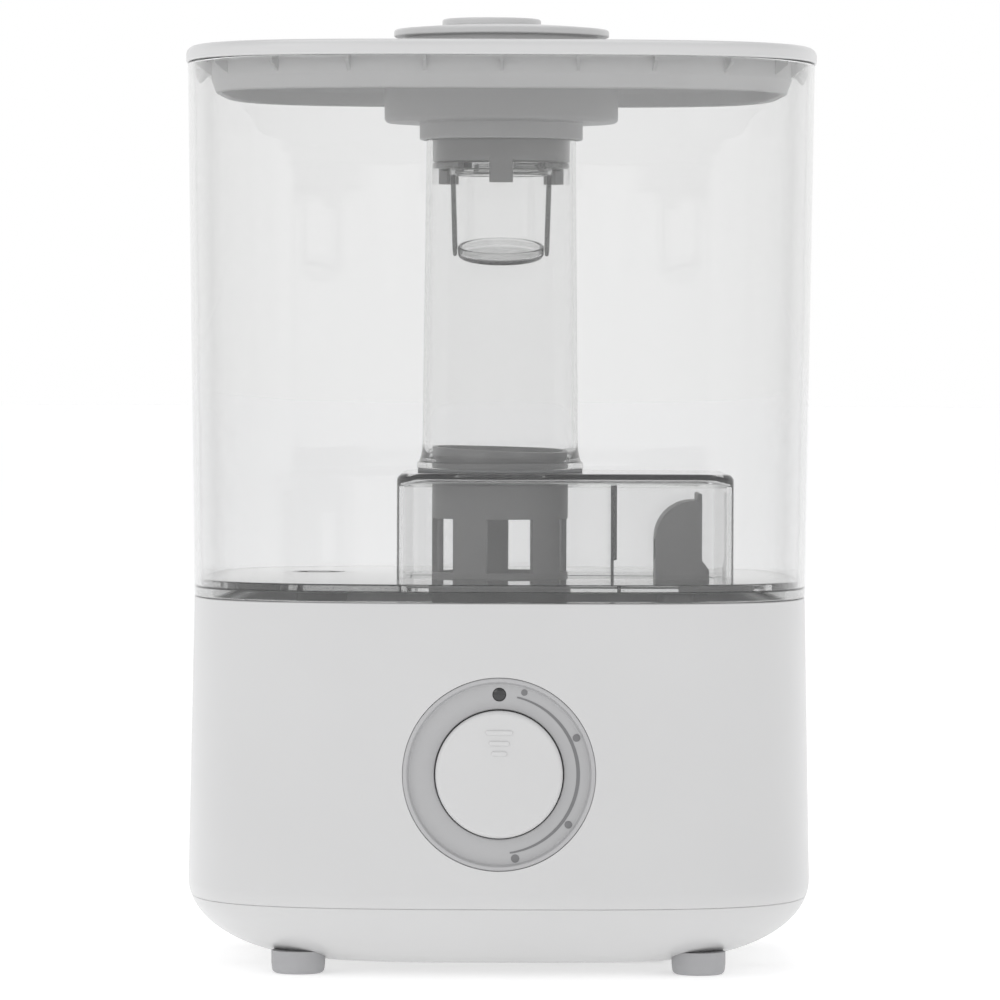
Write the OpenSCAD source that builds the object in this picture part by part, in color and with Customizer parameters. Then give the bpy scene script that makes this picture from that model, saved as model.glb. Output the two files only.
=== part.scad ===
// Cool mist humidifier with a see-through top-fill tank, in millimetres.
// The origin is on the table under the middle, +Z is up and the dial faces -Y.

/* [Overall] */
// Width of the lid, the widest piece
body_w = 202; // [190:1:250]
// Depth of the lid
body_d = 184; // [172:1:225]
// Squareness of the outline: 2 is an ellipse, 5 is nearly a box
corner_exp = 3.5; // [3:0.1:4.5]

/* [Base] */
// Height of the flat underside above the table
foot_h = 2.4; // [1.5:0.1:5]
// Height of the base, from its underside to the tank seam
base_h = 115.4; // [108:0.1:150]
// Height of the bottom pan below the parting line
pan_h = 20.4; // [18:0.1:26]
// Wall of the base mouldings
base_wall = 2.5; // [2:0.1:3]
// How far the widest ring of the base is set in from the lid's edge
base_in = 1.3; // [1:0.1:4]
// How far the top of the base is set in from the lid's edge
base_top_in = 3.1; // [2.5:0.1:6]
// Rounding of the bottom edge, measured level
bottom_round_w = 45; // [36:1:50]
// Rounding of the bottom edge, measured upright
bottom_round_h = 25; // [23:1:30]
// Diameter of a rubber foot
foot_d = 17; // [14:0.5:21]
// How far the feet are set in from the lid's edge
foot_in = 22.5; // [19:0.5:27]
// How far the case screws are set in from the lid's edge
case_in = 20; // [18:0.5:24]
// Depth of the water tray
tray_deep = 21.2; // [19:0.1:26]
// Depth of the well under the tray
well_deep = 8; // [6:0.5:12]

/* [Tank] */
// Height of the tank, from the seam to the lid
tank_h = 169.9; // [150:0.1:210]
// Wall of the tank
tank_wall_t = 2.2; // [1.8:0.1:3]
// How far the tank's foot is set in from the lid's edge
tank_foot_in = 3; // [2.5:0.1:6]
// How far the tank's rim is set in from the lid's edge
tank_rim_in = 0.5; // [0.3:0.1:2]
// Height of the floor's underside above the seam
floor_up = 3.2; // [2.8:0.1:5]
// Thickness of the floor
floor_t = 2.5; // [2:0.1:3.5]
// How far the raised chamber in the floor reaches past the tube's foot, to the left
chamber_left = 6; // [4:0.5:9]
// Right end of the raised chamber
chamber_x1 = 75; // [72:1:80]
// Depth of the raised chamber
chamber_d = 76; // [70:1:92]
// Height of the raised chamber above the seam
chamber_h = 39.2; // [37:0.1:48]
// Wall of the raised chamber
chamber_wall = 2; // [1.5:0.1:3]
// Place of the air baffle in the chamber
baffle_x = 35.5; // [33:0.5:40]

/* [Mist path] */
// Outer diameter of the mist tube at its top
tube_d = 48.2; // [46:0.1:58]
// How much wider the mist tube is at its foot
tube_flare = 2.2; // [1:0.1:4]
// Wall of the mist tube
tube_wall = 1.5; // [1.2:0.1:2]
// Distance from the lid's underside down to the top of the mist tube
tube_below_lid = 20.2; // [18:0.1:26]
// Outer diameter of the slotted mist guide
guide_d = 44; // [40:0.5:44.5]
// How far the mist guide reaches into the mist tube
guide_overlap = 6.7; // [4:0.1:12]
// Width of a slot in the mist guide
slot_w = 15; // [10:0.5:17]
// Height of a slot in the mist guide
slot_h = 17.3; // [12:0.1:20]
// Number of slots round the mist guide
slot_n = 5; // [4:1:6]
// Left face of the air cowl
cowl_x = 50.3; // [48:0.1:54]
// Width of the air cowl
cowl_w = 15.1; // [13:0.1:18]
// Depth of the air cowl
cowl_d = 28; // [22:1:34]
// Height of the air cowl above the seam
cowl_h = 30.2; // [24:0.1:34]

/* [Lid] */
// Thickness of the lid's edge
lid_t = 4.9; // [4:0.1:8]
// Rounding of the lid's upper edge
lid_round = 3; // [1:0.1:3.8]
// How far the lid's skirt is set in from the lid's edge
skirt_in = 7.5; // [6.5:0.1:10]
// Depth of the skirt below the tank's rim
skirt_h = 10; // [7:0.5:14]
// Number of centring ribs round the skirt
rib_n = 26; // [16:2:36]
// Outer diameter of the nozzle well
well_d = 75.7; // [74.5:0.1:90]
// Depth of the nozzle well below the lid
nozzle_well_deep = 18.2; // [15:0.1:20]
// Depth of the guard holder below the sleeve
holder_deep = 7.1; // [6:0.1:10]
// Diameter of the splash dish
dish_d = 27.8; // [24:0.1:32]
// Lowest point of the splash dish below the lid
dish_deep = 64.5; // [56:0.1:80]
// Forward tilt of the splash dish
dish_tilt = 12; // [0:1:15]

/* [Nozzle] */
// Diameter of the turning nozzle disc
nozzle_d = 69.5; // [66:0.1:71.5]
// Gap between the lid's top and the disc
nozzle_gap = 4.6; // [2:0.1:8]
// Thickness of the disc at its edge
nozzle_edge = 2.4; // [1.8:0.1:4]
// Rise of the disc from its edge to its middle
nozzle_dome = 1.8; // [1:0.1:5]
// Diameter of the mist outlet's cap
cap_d = 31.9; // [28:0.1:36]
// Height of the cap above the disc
cap_h = 1.7; // [1.2:0.1:4]
// How far the outlet is off the disc's middle, to the left
cap_off = 3.2; // [0:0.1:6]

/* [Dial] */
// Height of the dial's centre above the table
dial_z = 64.7; // [58:0.1:72]
// Outer diameter of the dial ring
ring_d = 60; // [56:0.5:72]
// Diameter of the knob
knob_d = 39.6; // [33:0.1:42]
// How far the knob stands out of the base
knob_proud = 1.2; // [0.6:0.1:1.4]
// Depth of the ring's face below the base's front
ring_recess = 2; // [1:0.1:3]
// Depth of the knob's pocket below the ring's face
pocket_deep = 5; // [4:0.1:8]
// Turn of the knob from off to full
knob_turn = 170; // [120:5:270]
// Diameter of the indicator lens
lens_d = 4.1; // [3:0.1:5]
// Diameter of the control's shaft
shaft_d = 6; // [5:0.1:6.4]

/* [Fan] */
// Side of the square fan
fan_size = 60; // [50:1:62]
// Thickness of the fan
fan_t = 15; // [12:0.5:20]
// Place of the fan to the right of the middle
fan_x = 30; // [26:0.5:34]
// Number of fan blades
blade_n = 7; // [5:1:9]

/* [Water valve] */
// Place of the valve to the left of the middle
valve_x = 60; // [54:1:66]
// Place of the valve behind the middle
valve_y = 28; // [24:1:34]
// Diameter of the valve's housing
valve_d = 17.8; // [16:0.1:20]
// Travel of the valve
valve_travel = 2.93; // [2:0.01:3.2]
// Distance from the lever's pin to the valve
lever_short = 14; // [12:0.5:16]
// Distance from the lever's pin to the float's middle
lever_long = 26; // [24:0.5:32]
// Diameter of the lever's pin
pin_d = 3; // [2.5:0.1:3.4]
// Side of the float
float_size = 26; // [22:1:28]

/* [Clearances] */
// Gap round a part that drops in or lifts out
loose_gap = 0.3; // [0.2:0.05:0.5]
// Radial gap of a shaft that turns in a hole
run_gap = 0.05; // [0.02:0.01:0.09]
// Gap between two fixed pieces
fixed_gap = 0.1; // [0.05:0.05:0.2]

/* [Hidden] */
$fn = 64;
eps = 0.01;
outline_n = 72;

white = [0.93, 0.93, 0.93];
off_white = [0.86, 0.86, 0.86];
clear = [0.8, 0.86, 0.88, 0.35];
mid_gray = [0.68, 0.68, 0.68];
dark = [0.13, 0.13, 0.14];
rubber_gray = [0.55, 0.55, 0.56];
steel = [0.72, 0.72, 0.74];
brass = [0.8, 0.67, 0.36];
board_green = [0.1, 0.36, 0.2];

// heights
pan_z0 = foot_h;
part_z = pan_z0 + pan_h;
wide_z = pan_z0 + bottom_round_h;
seam_z = pan_z0 + base_h;
floor_z0 = seam_z + floor_up;
floor_z1 = floor_z0 + floor_t;
chamber_z = seam_z + chamber_h;
rim_z = seam_z + tank_h;
lid_z = rim_z + lid_t;

// the base's profile
round_in = base_in + bottom_round_w;
function base_inset(z) = z < wide_z
    ? round_in - bottom_round_w * sqrt(1 - pow((wide_z - z) / bottom_round_h, 2))
    : base_in + (base_top_in - base_in) * (z - wide_z) / (seam_z - wide_z);
function pan_under(inset) = wide_z
    - bottom_round_h * sqrt(1 - pow((round_in - inset) / bottom_round_w, 2));
pan_floor = pan_z0 + base_wall;

// the basin that drops into the top of the base
ledge_w = 4;
ledge_t = 3;
flange_t = 2.4;
flange_z1 = seam_z - 0.6;
ledge_z1 = flange_z1 - flange_t;
ledge_in = base_top_in + base_wall + ledge_w;
tray_out = ledge_in + loose_gap + 0.2;
tray_in = tray_out + base_wall;
tray_z1 = flange_z1 - tray_deep;
tray_z0 = tray_z1 - base_wall;
well_r = guide_d / 2 - 3;
well_bottom_t = 3;
well_z1 = tray_z1 - well_deep;
well_z0 = well_z1 - well_bottom_t;

// the air duct, which the cowl caps
cowl_wall = 1.5;
duct_gap = 0.25;
duct_x0 = cowl_x + cowl_wall + duct_gap;
duct_w = cowl_w - 2 * (cowl_wall + duct_gap);
duct_d = cowl_d - 2 * (cowl_wall + duct_gap);
duct_top = seam_z + 9;
duct_stub = tray_z0 - 7;

// feet and screws of the base
foot_angle = 47;
foot_seat = pan_under(foot_in) + 1;
foot_stem_d = 6;
foot_stem_h = 4;
screw_d = 3;
screw_head_d = 5.6;
screw_head_h = 2;
boss_d = 9;
case_x = body_w / 2 - case_in;
case_y = 28;
case_web = 3;
case_seat = pan_under(case_in) + 4;
case_bite = 9;

// the dial's own frame, tilted with the front of the base
front_y = body_d / 2 - base_inset(dial_z);
front_tilt = atan((base_top_in - base_in) / (seam_z - wide_z));
ring_wall = 1.5;
ring_face = -0.2;
ring_floor = ring_face - ring_recess;
pocket_r = knob_d / 2 + 0.35;
pocket_floor = ring_floor - pocket_deep;
flange_front = ring_face - base_wall - 1;
lens_r = (pocket_r + ring_d / 2) / 2 - 0.3;
bush_d = shaft_d + 2 * run_gap + 0.9;
nut_t = 1.6;
board_t = 1.6;
pot_d = 16;
pot_t = 7;
control_z = pocket_floor - ring_wall - pot_t;

// the fan and the duct below the tray
fan_z0 = pan_floor + 21;
fan_z1 = fan_z0 + fan_t;
fan_bore_r = fan_size / 2 - 1.5;
fan_hub_r = 11;
fan_hole = fan_size / 2 - 5;
fan_pin_d = 3;
fan_post_d = 8;
sponge_size = 2 * fan_hole;
sponge_round = 14;
sponge_t = 8;
duct_wall = 1.6;

// the driver board
board_x0 = -58;
board_x1 = -10;
board_y0 = -26;
board_y1 = 38;
board_z = pan_floor + 14;
board_hole_in = 4;

// the power inlet in the back
jack_d = 11;
jack_bore = 6.4;
jack_pin_d = 2.1;
jack_z = 38;
jack_place = [-45, body_d / 2 - base_inset(jack_z) - 0.6, jack_z];

// the transducer
disc_r = 10;
seal_r = 12;
seal_drop = 1.5;
bracket_t = 2;
bracket_z1 = well_z0 - seal_drop;
bracket_screw_r = 16;

// the valve and its lever
valve_r = valve_d / 2;
valve_wall = 1.5;
plunger_r = valve_r - valve_wall - 0.4;
stem_r = 2;
pivot_y = valve_y - lever_short;
pivot_z = tray_z1 + 6;
pad_z = pivot_z;
stem_gap = 0.3;
seat_z0 = pad_z + 4;
seat_t = 1.5;
seat_r = plunger_r - 2;
seal_t = 2;
seal_z = seat_z0 + seat_t + valve_travel + 0.07;
plunger_flange_t = 1.5;
spring_z0 = seal_z + seal_t + plunger_flange_t;
spring_z1 = floor_z0 + 0.2;
float_z = tray_z1 + 1.5;
float_t = 7;
arm_t = 2;
arm_w = 8;
lever_gap = 0.4;
barrel_w = arm_w + 1.6;
ear_t = 2;
barrel_r = pin_d / 2 + 2;
magnet_d = 6;
magnet_t = 2.5;

// the tube and what hangs in it
gasket_t = 1;
tube_z0 = chamber_z + gasket_t;
tube_z1 = rim_z - tube_below_lid;
tube_r1 = tube_d / 2;
tube_r0 = tube_r1 + tube_flare / 2;
tube_foot_r = tube_r0 + 1.8;
tube_foot_h = 2;
tube_foot_blend = 7;
tube_bore_r = tube_r0 - tube_wall;
chamber_x0 = -tube_foot_r - chamber_left;
guide_top = chamber_z + guide_overlap;
guide_wall = 1.7;
slot_z = seam_z + 6.9;
slot_turn = 8.7;
well_floor_t = 1.8;
well_wall = 1.8;
nozzle_floor_z0 = rim_z - nozzle_well_deep;
nozzle_floor_z1 = nozzle_floor_z0 + well_floor_t;
sleeve_z = nozzle_floor_z0 - 5.5;
sleeve_wall = 1.8;
sleeve_r = tube_r1 + sleeve_wall + 0.5;
holder_z = sleeve_z - holder_deep;
holder_r = tube_r1 - tube_wall - 0.45;
holder_wall = 1.8;
bore_r = holder_r - holder_wall;
guard_ring_t = 2;
guard_z1 = holder_z - loose_gap;
guard_z0 = guard_z1 - guard_ring_t;
hook_w = 7.4;
hook_t = 1.8;
hook_foot = 2.2;
hook_z = holder_z - 6.9;
guard_r = holder_r;
guard_in_r = guard_r - 5.4;
guard_twist = 20;
dish_z = rim_z - dish_deep;
dish_wall = 1.3;
dish_h = 4;

// the lid
cover_in = 6;
cover_pocket = 2.6;
liner_t = 1.9;
liner_z1 = rim_z + cover_pocket - fixed_gap;
liner_z0 = liner_z1 - liner_t;
skirt_wall = 2;
rib_t = 1;
rib_h = 5.5;
well_in_r = well_d / 2 - well_wall;
nozzle_z0 = lid_z + nozzle_gap;
nozzle_z1 = nozzle_z0 + nozzle_edge;
nozzle_top = nozzle_z1 + nozzle_dome;
neck_r = nozzle_d / 2 - 3.75;
neck_wall = 2;
outlet_r = cap_d / 2 - 2.6;
cap_seat = nozzle_z1 + nozzle_dome * (1 - pow((cap_d / 2 + cap_off) / (nozzle_d / 2 - nozzle_edge / 4), 2));
cap_top = nozzle_top + cap_h;

// ---- outlines and lofts ----

function power(v) = sign(v) * pow(abs(v), 2 / corner_exp);
function outline_point(inset, a) = [(body_w / 2 - inset) * power(cos(a)),
    (body_d / 2 - inset) * power(sin(a))];
function outline(inset) = [for (i = [0:outline_n - 1]) outline_point(inset, 360 * i / outline_n)];

// a rectangle with round corners, drawn from its right end anticlockwise
corner_n = 6;
function corner(cx, cy, r, a0) = [for (i = [0:corner_n]) let (a = a0 + 90 * i / corner_n)
    [cx + r * cos(a), cy + r * sin(a)]];
function rounded(x0, x1, y0, y1, r) = concat(corner(x1 - r, y1 - r, r, 0),
    corner(x0 + r, y1 - r, r, 90), corner(x0 + r, y0 + r, r, 180), corner(x1 - r, y0 + r, r, 270));

// joins closed rings of points, each ring above the last
module skin(rings) {
    n = len(rings[0]);
    last = len(rings) - 1;
    sides = [for (k = [0:last - 1], i = [0:n - 1])
        let (j = (i + 1) % n, a = k * n + i, b = k * n + j)
        each [[a, b + n, b], [a, a + n, b + n]]];
    bottom = [[for (i = [0:n - 1]) i]];
    top = [[for (i = [n - 1:-1:0]) last * n + i]];
    polyhedron(points = [for (ring = rings) each ring], faces = concat(bottom, sides, top));
}

// a solid through the body's outline at each [height, inset]
module loft(levels) {
    skin([for (level = levels) [for (p = outline(level[1])) [p.x, p.y, level[0]]]]);
}

module slab(inset, z0, z1) {
    translate([0, 0, z0]) linear_extrude(z1 - z0) polygon(outline(inset));
}

module tube(r_out, r_in, z0, z1) {
    translate([0, 0, z0]) difference() {
        cylinder(r = r_out, h = z1 - z0);
        translate([0, 0, -1]) cylinder(r = r_in, h = z1 - z0 + 2);
    }
}

module block(x0, x1, y0, y1, z0, z1) {
    translate([x0, y0, z0]) cube([x1 - x0, y1 - y0, z1 - z0]);
}

// a wire that follows a list of points, with a round section
wire_sides = 8;
function unit(v) = v / norm(v);
function ahead(path, i) = unit(path[min(i + 1, len(path) - 1)] - path[max(i - 1, 0)]);
function wire_ring(path, i, r) = let (
    t = ahead(path, i),
    side = unit(cross(t, [0, 0, 1])),
    up = cross(side, t))
    [for (k = [0:wire_sides - 1]) let (a = 360 * k / wire_sides)
        path[i] + r * (cos(a) * side + sin(a) * up)];
module wire(path, r) {
    skin([for (i = [0:len(path) - 1]) wire_ring(path, i, r)]);
}

// places a part in the dial's frame: x right, y up, z out of the front
module at_dial() {
    translate([0, -front_y, dial_z]) rotate([90 - front_tilt, 0, 0]) children();
}

module at_corners(x, y) {
    for (sx = [-1, 1], sy = [-1, 1]) translate([sx * x, sy * y, 0]) children();
}

module at_feet() {
    foot = outline_point(foot_in, foot_angle);
    at_corners(foot.x, foot.y) children();
}

module at_fan_holes() {
    translate([fan_x, 0, 0]) at_corners(fan_hole, fan_hole) children();
}

module at_board_holes() {
    translate([(board_x0 + board_x1) / 2, (board_y0 + board_y1) / 2, 0])
        at_corners((board_x1 - board_x0) / 2 - board_hole_in,
            (board_y1 - board_y0) / 2 - board_hole_in) children();
}

module screw(head_z, length) {
    translate([0, 0, head_z - screw_head_h]) cylinder(d = screw_head_d, h = screw_head_h, $fn = 32);
    translate([0, 0, head_z - eps]) cylinder(d = screw_d, h = length + eps, $fn = 24);
}

// ---- base ----

module base_shell() {
    hollow = base_wall;
    color(white) difference() {
        union() {
            difference() {
                loft([[part_z, base_inset(part_z)],
                    [(part_z + wide_z) / 2, base_inset((part_z + wide_z) / 2)],
                    [wide_z, base_in], [seam_z, base_top_in]]);
                loft([[part_z - 1, base_inset(part_z) + hollow], [part_z, base_inset(part_z) + hollow],
                    [wide_z, base_in + hollow],
                    [ledge_z1 - ledge_t, base_inset(ledge_z1 - ledge_t) + hollow]]);
                slab(ledge_in, ledge_z1 - ledge_t - 1, ledge_z1 + 1);
                slab(base_top_in + hollow, ledge_z1, seam_z + 1);
            }
            at_corners(case_x, case_y) translate([0, 0, part_z]) cylinder(d = boss_d, h = case_bite + 6);
            for (side = [0, 180], y = [-case_y, case_y]) rotate(side)
                block(case_x, body_w / 2 - base_in - base_wall + 0.8, y - case_web / 2, y + case_web / 2,
                    wide_z, part_z + case_bite + 6);
        }
        at_corners(case_x, case_y) translate([0, 0, part_z - 1])
            cylinder(d = screw_d, h = case_bite + 3, $fn = 24);
        at_dial() translate([0, 0, flange_front - 1]) cylinder(d = ring_d + 2 * fixed_gap, h = 12);
        translate([jack_place.x, 0, jack_place.z]) rotate([-90, 0, 0])
            cylinder(d = jack_d + 2 * fixed_gap, h = body_d);
    }
}

module pan_levels(t) {
    steps = 7;
    a_part = acos((wide_z - part_z) / (bottom_round_h - t));
    levels = [for (i = [0:steps]) let (a = a_part * i / steps)
        [wide_z - (bottom_round_h - t) * cos(a), round_in - (bottom_round_w - t) * sin(a)]];
    top = levels[steps];
    loft(t > 0 ? concat(levels, [[top[0] + 1, top[1]]]) : levels);
}

module pan_posts() {
    at_feet() cylinder(d = foot_d + 5, h = foot_seat + foot_stem_h + 2);
    at_corners(case_x, case_y) cylinder(d = boss_d, h = part_z);
    at_fan_holes() cylinder(d = fan_post_d, h = fan_z0);
    at_board_holes() cylinder(d = 7, h = board_z);
    translate([0, 0, pan_floor - 1]) linear_extrude(sponge_t / 2 + 1) difference() {
        sponge_outline(loose_gap + 1.5);
        sponge_outline(loose_gap);
    }
}

module sponge_outline(extra) {
    half = sponge_size / 2 + extra;
    polygon(rounded(fan_x - half, fan_x + half, -half, half, sponge_round + extra));
}

module pan_lip() {
    lip_in = base_inset(part_z) + base_wall + loose_gap;
    lip_t = 1.5;
    difference() {
        union() {
            slab(lip_in, part_z - 1, part_z + 3);
            slab(lip_in - 1, part_z - 2, part_z);
        }
        slab(lip_in + lip_t, part_z - 3, part_z + 4);
        at_corners(case_x, case_y) translate([0, 0, part_z]) cylinder(d = boss_d + 1, h = 8);
    }
}

module base_pan() {
    slot_pitch = 5.2;
    slots = 9;
    color(white) difference() {
        union() {
            difference() {
                pan_levels(0);
                difference() {
                    pan_levels(base_wall);
                    pan_posts();
                }
            }
            pan_lip();
            at_feet() translate([0, 0, foot_seat]) cylinder(d = foot_d, h = foot_stem_h);
        }
        at_feet() {
            translate([0, 0, -1]) cylinder(d = foot_d + 2 * fixed_gap, h = foot_seat + 1);
            cylinder(d = foot_stem_d + 2 * fixed_gap, h = foot_seat + foot_stem_h + 0.5, $fn = 32);
        }
        at_corners(case_x, case_y) {
            cylinder(d = screw_head_d + 1, h = case_seat, $fn = 32);
            cylinder(d = screw_d + 0.4, h = part_z + 1, $fn = 24);
        }
        at_fan_holes() translate([0, 0, fan_z0 - 8]) cylinder(d = screw_d, h = 9, $fn = 24);
        at_board_holes() translate([0, 0, board_z - 7]) cylinder(d = screw_d, h = 8, $fn = 24);
        for (i = [0:slots - 1]) translate([fan_x + (i - (slots - 1) / 2) * slot_pitch, 0, pan_z0])
            cube([2.6, sponge_size - 8, 3 * base_wall], center = true);
    }
}

module water_basin() {
    duct_in = 1.5;
    ear_x = barrel_w / 2 + lever_gap;
    color(off_white) difference() {
        union() {
            difference() {
                union() {
                    slab(base_top_in + base_wall + loose_gap, ledge_z1, flange_z1);
                    slab(tray_out, tray_z0, flange_z1);
                }
                slab(tray_in, tray_z1, flange_z1 + 1);
            }
            translate([0, 0, well_z0]) cylinder(r = well_r + base_wall, h = tray_z0 - well_z0 + 1);
            block(duct_x0, duct_x0 + duct_w, -duct_d / 2, duct_d / 2, duct_stub, duct_top);
            for (side = [-1, 1]) translate([-valve_x + side * (ear_x + ear_t / 2), pivot_y, 0]) {
                translate([0, 0, (tray_z1 + pivot_z) / 2 - eps])
                    cube([ear_t, 2 * barrel_r, pivot_z - tray_z1 + 2 * eps], center = true);
                translate([0, 0, pivot_z]) rotate([0, 90, 0])
                    cylinder(r = barrel_r, h = ear_t, center = true);
            }
        }
        translate([0, 0, well_z1]) cylinder(r = well_r, h = tray_z1 - well_z1 + 1);
        block(duct_x0 + duct_in, duct_x0 + duct_w - duct_in, -duct_d / 2 + duct_in,
            duct_d / 2 - duct_in, duct_stub - 1, duct_top + 1);
        translate([0, 0, well_z0 - 1]) cylinder(r = seal_r + fixed_gap, h = 2.5);
        translate([0, 0, well_z0]) cylinder(r = disc_r - 2, h = well_bottom_t + 1);
        for (i = [0:2]) rotate(120 * i + 30) translate([bracket_screw_r, 0, well_z0 - 1])
            cylinder(d = screw_d, h = 3.2, $fn = 24);
        translate([-valve_x, pivot_y, pivot_z]) rotate([0, 90, 0])
            cylinder(d = pin_d, h = 3 * barrel_w, center = true, $fn = 48);
    }
}

function arc(cx, cy, r, a0, a1, n) = [for (i = [0:n]) let (a = a0 + (a1 - a0) * i / n)
    [cx + r * cos(a), cy + r * sin(a)]];

module air_cowl() {
    round_r = 12.5;
    z0 = seam_z + 0.4;
    z1 = seam_z + cowl_h;
    x1 = cowl_x + cowl_w;
    flare = 2.6;
    flare_z = seam_z + 8;
    nib = 2.4;
    outer = concat([[cowl_x, z0], [x1 + flare, z0], [x1 + flare, flare_z], [x1, flare_z + 3],
        [x1, z1 + nib], [x1 - cowl_wall, z1 + nib], [x1 - cowl_wall, z1]],
        arc(cowl_x + round_r, z1 - round_r, round_r, 90, 180, 12));
    inner = concat([[cowl_x + cowl_wall, z0 - 1], [x1 - cowl_wall, z0 - 1],
        [x1 - cowl_wall, z1 - cowl_wall]],
        arc(cowl_x + round_r, z1 - round_r, round_r - cowl_wall, 90, 180, 12));
    stop_w = 2;
    color(off_white) union() {
        difference() {
            rotate([90, 0, 0]) linear_extrude(cowl_d, center = true) polygon(outer);
            rotate([90, 0, 0]) linear_extrude(cowl_d - 2 * cowl_wall, center = true) polygon(inner);
            block(cowl_x - 1, cowl_x + cowl_wall + 1, 4 - cowl_d / 2, cowl_d / 2 - 4,
                duct_top + 2, z1 - round_r);
        }
        for (side = [-1, 1]) translate([x1 - cowl_wall - stop_w / 2,
            side * (cowl_d / 2 - cowl_wall - stop_w / 2), duct_top + 1])
            cube([stop_w, stop_w, 2], center = true);
    }
}

module air_duct() {
    fit = duct_gap + duct_wall;
    low_z = fan_z1 + fixed_gap;
    high_z = duct_stub - 4;
    top_z = tray_z0 - 0.5;
    half = fan_size / 2;
    module funnel(t, extra) {
        hull() {
            block(fan_x - half + t, fan_x + half - t, t - half, half - t, low_z - extra, low_z + 3);
            block(duct_x0 - fit + t, duct_x0 + duct_w + fit - t, t - duct_d / 2 - fit,
                duct_d / 2 + fit - t, high_z, top_z + extra);
        }
    }
    color(off_white) difference() {
        funnel(0, 0);
        funnel(duct_wall, eps);
        at_fan_holes() translate([0, 0, low_z - 1])
            cylinder(d = screw_head_d + 1, h = screw_head_h + 3, $fn = 32);
    }
}

// ---- fan ----

module fan_case() {
    spoke_t = 2;
    color(dark) difference() {
        union() {
            difference() {
                translate([fan_x, 0, (fan_z0 + fan_z1) / 2]) cube([fan_size, fan_size, fan_t], center = true);
                translate([fan_x, 0, fan_z0 - 1]) cylinder(r = fan_bore_r, h = fan_t + 2);
            }
            translate([fan_x, 0, fan_z0]) {
                for (i = [0:2]) rotate(120 * i + 30) translate([0, -1.5, 0])
                    cube([fan_bore_r + 0.5, 3, spoke_t]);
                cylinder(r = fan_hub_r, h = spoke_t);
                cylinder(d = fan_pin_d, h = fan_t - 4, $fn = 48);
            }
        }
        at_fan_holes() translate([0, 0, fan_z0 - 1]) cylinder(d = screw_d + 0.4, h = fan_t + 2, $fn = 24);
    }
}

module fan_rotor() {
    z0 = fan_z0 + 2 + loose_gap;
    h = fan_t - 4;
    color(dark) translate([fan_x, 0, z0]) difference() {
        union() {
            cylinder(r = fan_hub_r - 0.5, h = h);
            for (i = [0:blade_n - 1]) rotate(360 * i / blade_n) intersection() {
                translate([fan_bore_r / 2, 0, h / 2]) rotate([42, 0, 0])
                    cube([fan_bore_r - 2, 1.4, 2 * h], center = true);
                tube(fan_bore_r - 0.8, fan_hub_r - 1, 0.5, h - 0.5);
            }
        }
        translate([0, 0, -1]) cylinder(d = fan_pin_d + 2 * run_gap, h = fan_t - 5, $fn = 48);
    }
}

module fan_screws() {
    color(steel) at_fan_holes() rotate([180, 0, 0]) screw(-fan_z1, fan_t + 6);
}

module filter_sponge() {
    color(dark) translate([0, 0, pan_floor + fixed_gap]) linear_extrude(sponge_t) sponge_outline(0);
}

// ---- transducer ----

module transducer_seal() {
    color(dark) difference() {
        tube(seal_r, disc_r - 2.5, bracket_z1, well_z0 + 1.4);
        translate([0, 0, well_z0 - 0.7]) cylinder(r = disc_r, h = 1.2);
    }
}

module transducer_disc() {
    color(brass) translate([0, 0, well_z0 - 0.7]) cylinder(r = disc_r, h = 1.2);
}

module transducer_bracket() {
    color(steel) difference() {
        translate([0, 0, bracket_z1 - bracket_t]) cylinder(r = bracket_screw_r + 4, h = bracket_t);
        translate([0, 0, bracket_z1 - bracket_t - 1]) cylinder(r = disc_r - 3, h = bracket_t + 2);
        for (i = [0:2]) rotate(120 * i + 30) translate([bracket_screw_r, 0, bracket_z1 - bracket_t - 1])
            cylinder(d = screw_d + 0.4, h = bracket_t + 2, $fn = 24);
    }
}

module transducer_screws() {
    color(steel) for (i = [0:2]) rotate(120 * i + 30) translate([bracket_screw_r, 0, 0])
        screw(bracket_z1 - bracket_t, bracket_t + seal_drop + 1.8);
}

// ---- electronics ----

module driver_board() {
    color(board_green) difference() {
        block(board_x0, board_x1, board_y0, board_y1, board_z, board_z + board_t);
        at_board_holes() translate([0, 0, board_z - 1])
            cylinder(d = screw_d + 0.4, h = board_t + 2, $fn = 24);
    }
}

module board_screws() {
    color(steel) at_board_holes() rotate([180, 0, 0]) screw(-board_z - board_t, board_t + 6);
}

module driver_parts() {
    z = board_z + board_t;
    capacitors = [[-18, 20, 5, 14], [-18, 6, 4, 11], [-30, 24, 3, 9]];
    color(dark) union() {
        for (c = capacitors) translate([c[0], c[1], z]) cylinder(r = c[2], h = c[3], $fn = 32);
        block(-54, -40, 14, 30, z, z + 10);
        block(-26, -16, -20, -8, z, z + 8);
        translate([-31, 9, z]) difference() {
            cylinder(r = 7, h = 6, $fn = 48);
            translate([0, 0, -1]) cylinder(r = 3, h = 8, $fn = 32);
        }
    }
}

module heatsink() {
    z = board_z + board_t;
    fins = 6;
    color(steel) union() {
        block(-54, -32, -18, -15.5, z, z + 26);
        for (i = [0:fins - 1]) translate([-53.5 + i * 4, -15.6, z]) cube([1.2, 12, 26]);
    }
}

module control_board() {
    color(board_green) at_dial() difference() {
        translate([-26, -16, control_z - board_t]) cube([52, 16 + lens_r + 2, board_t]);
        translate([0, 0, control_z - board_t - 1]) cylinder(d = 5, h = board_t + 2, $fn = 24);
    }
}

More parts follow.
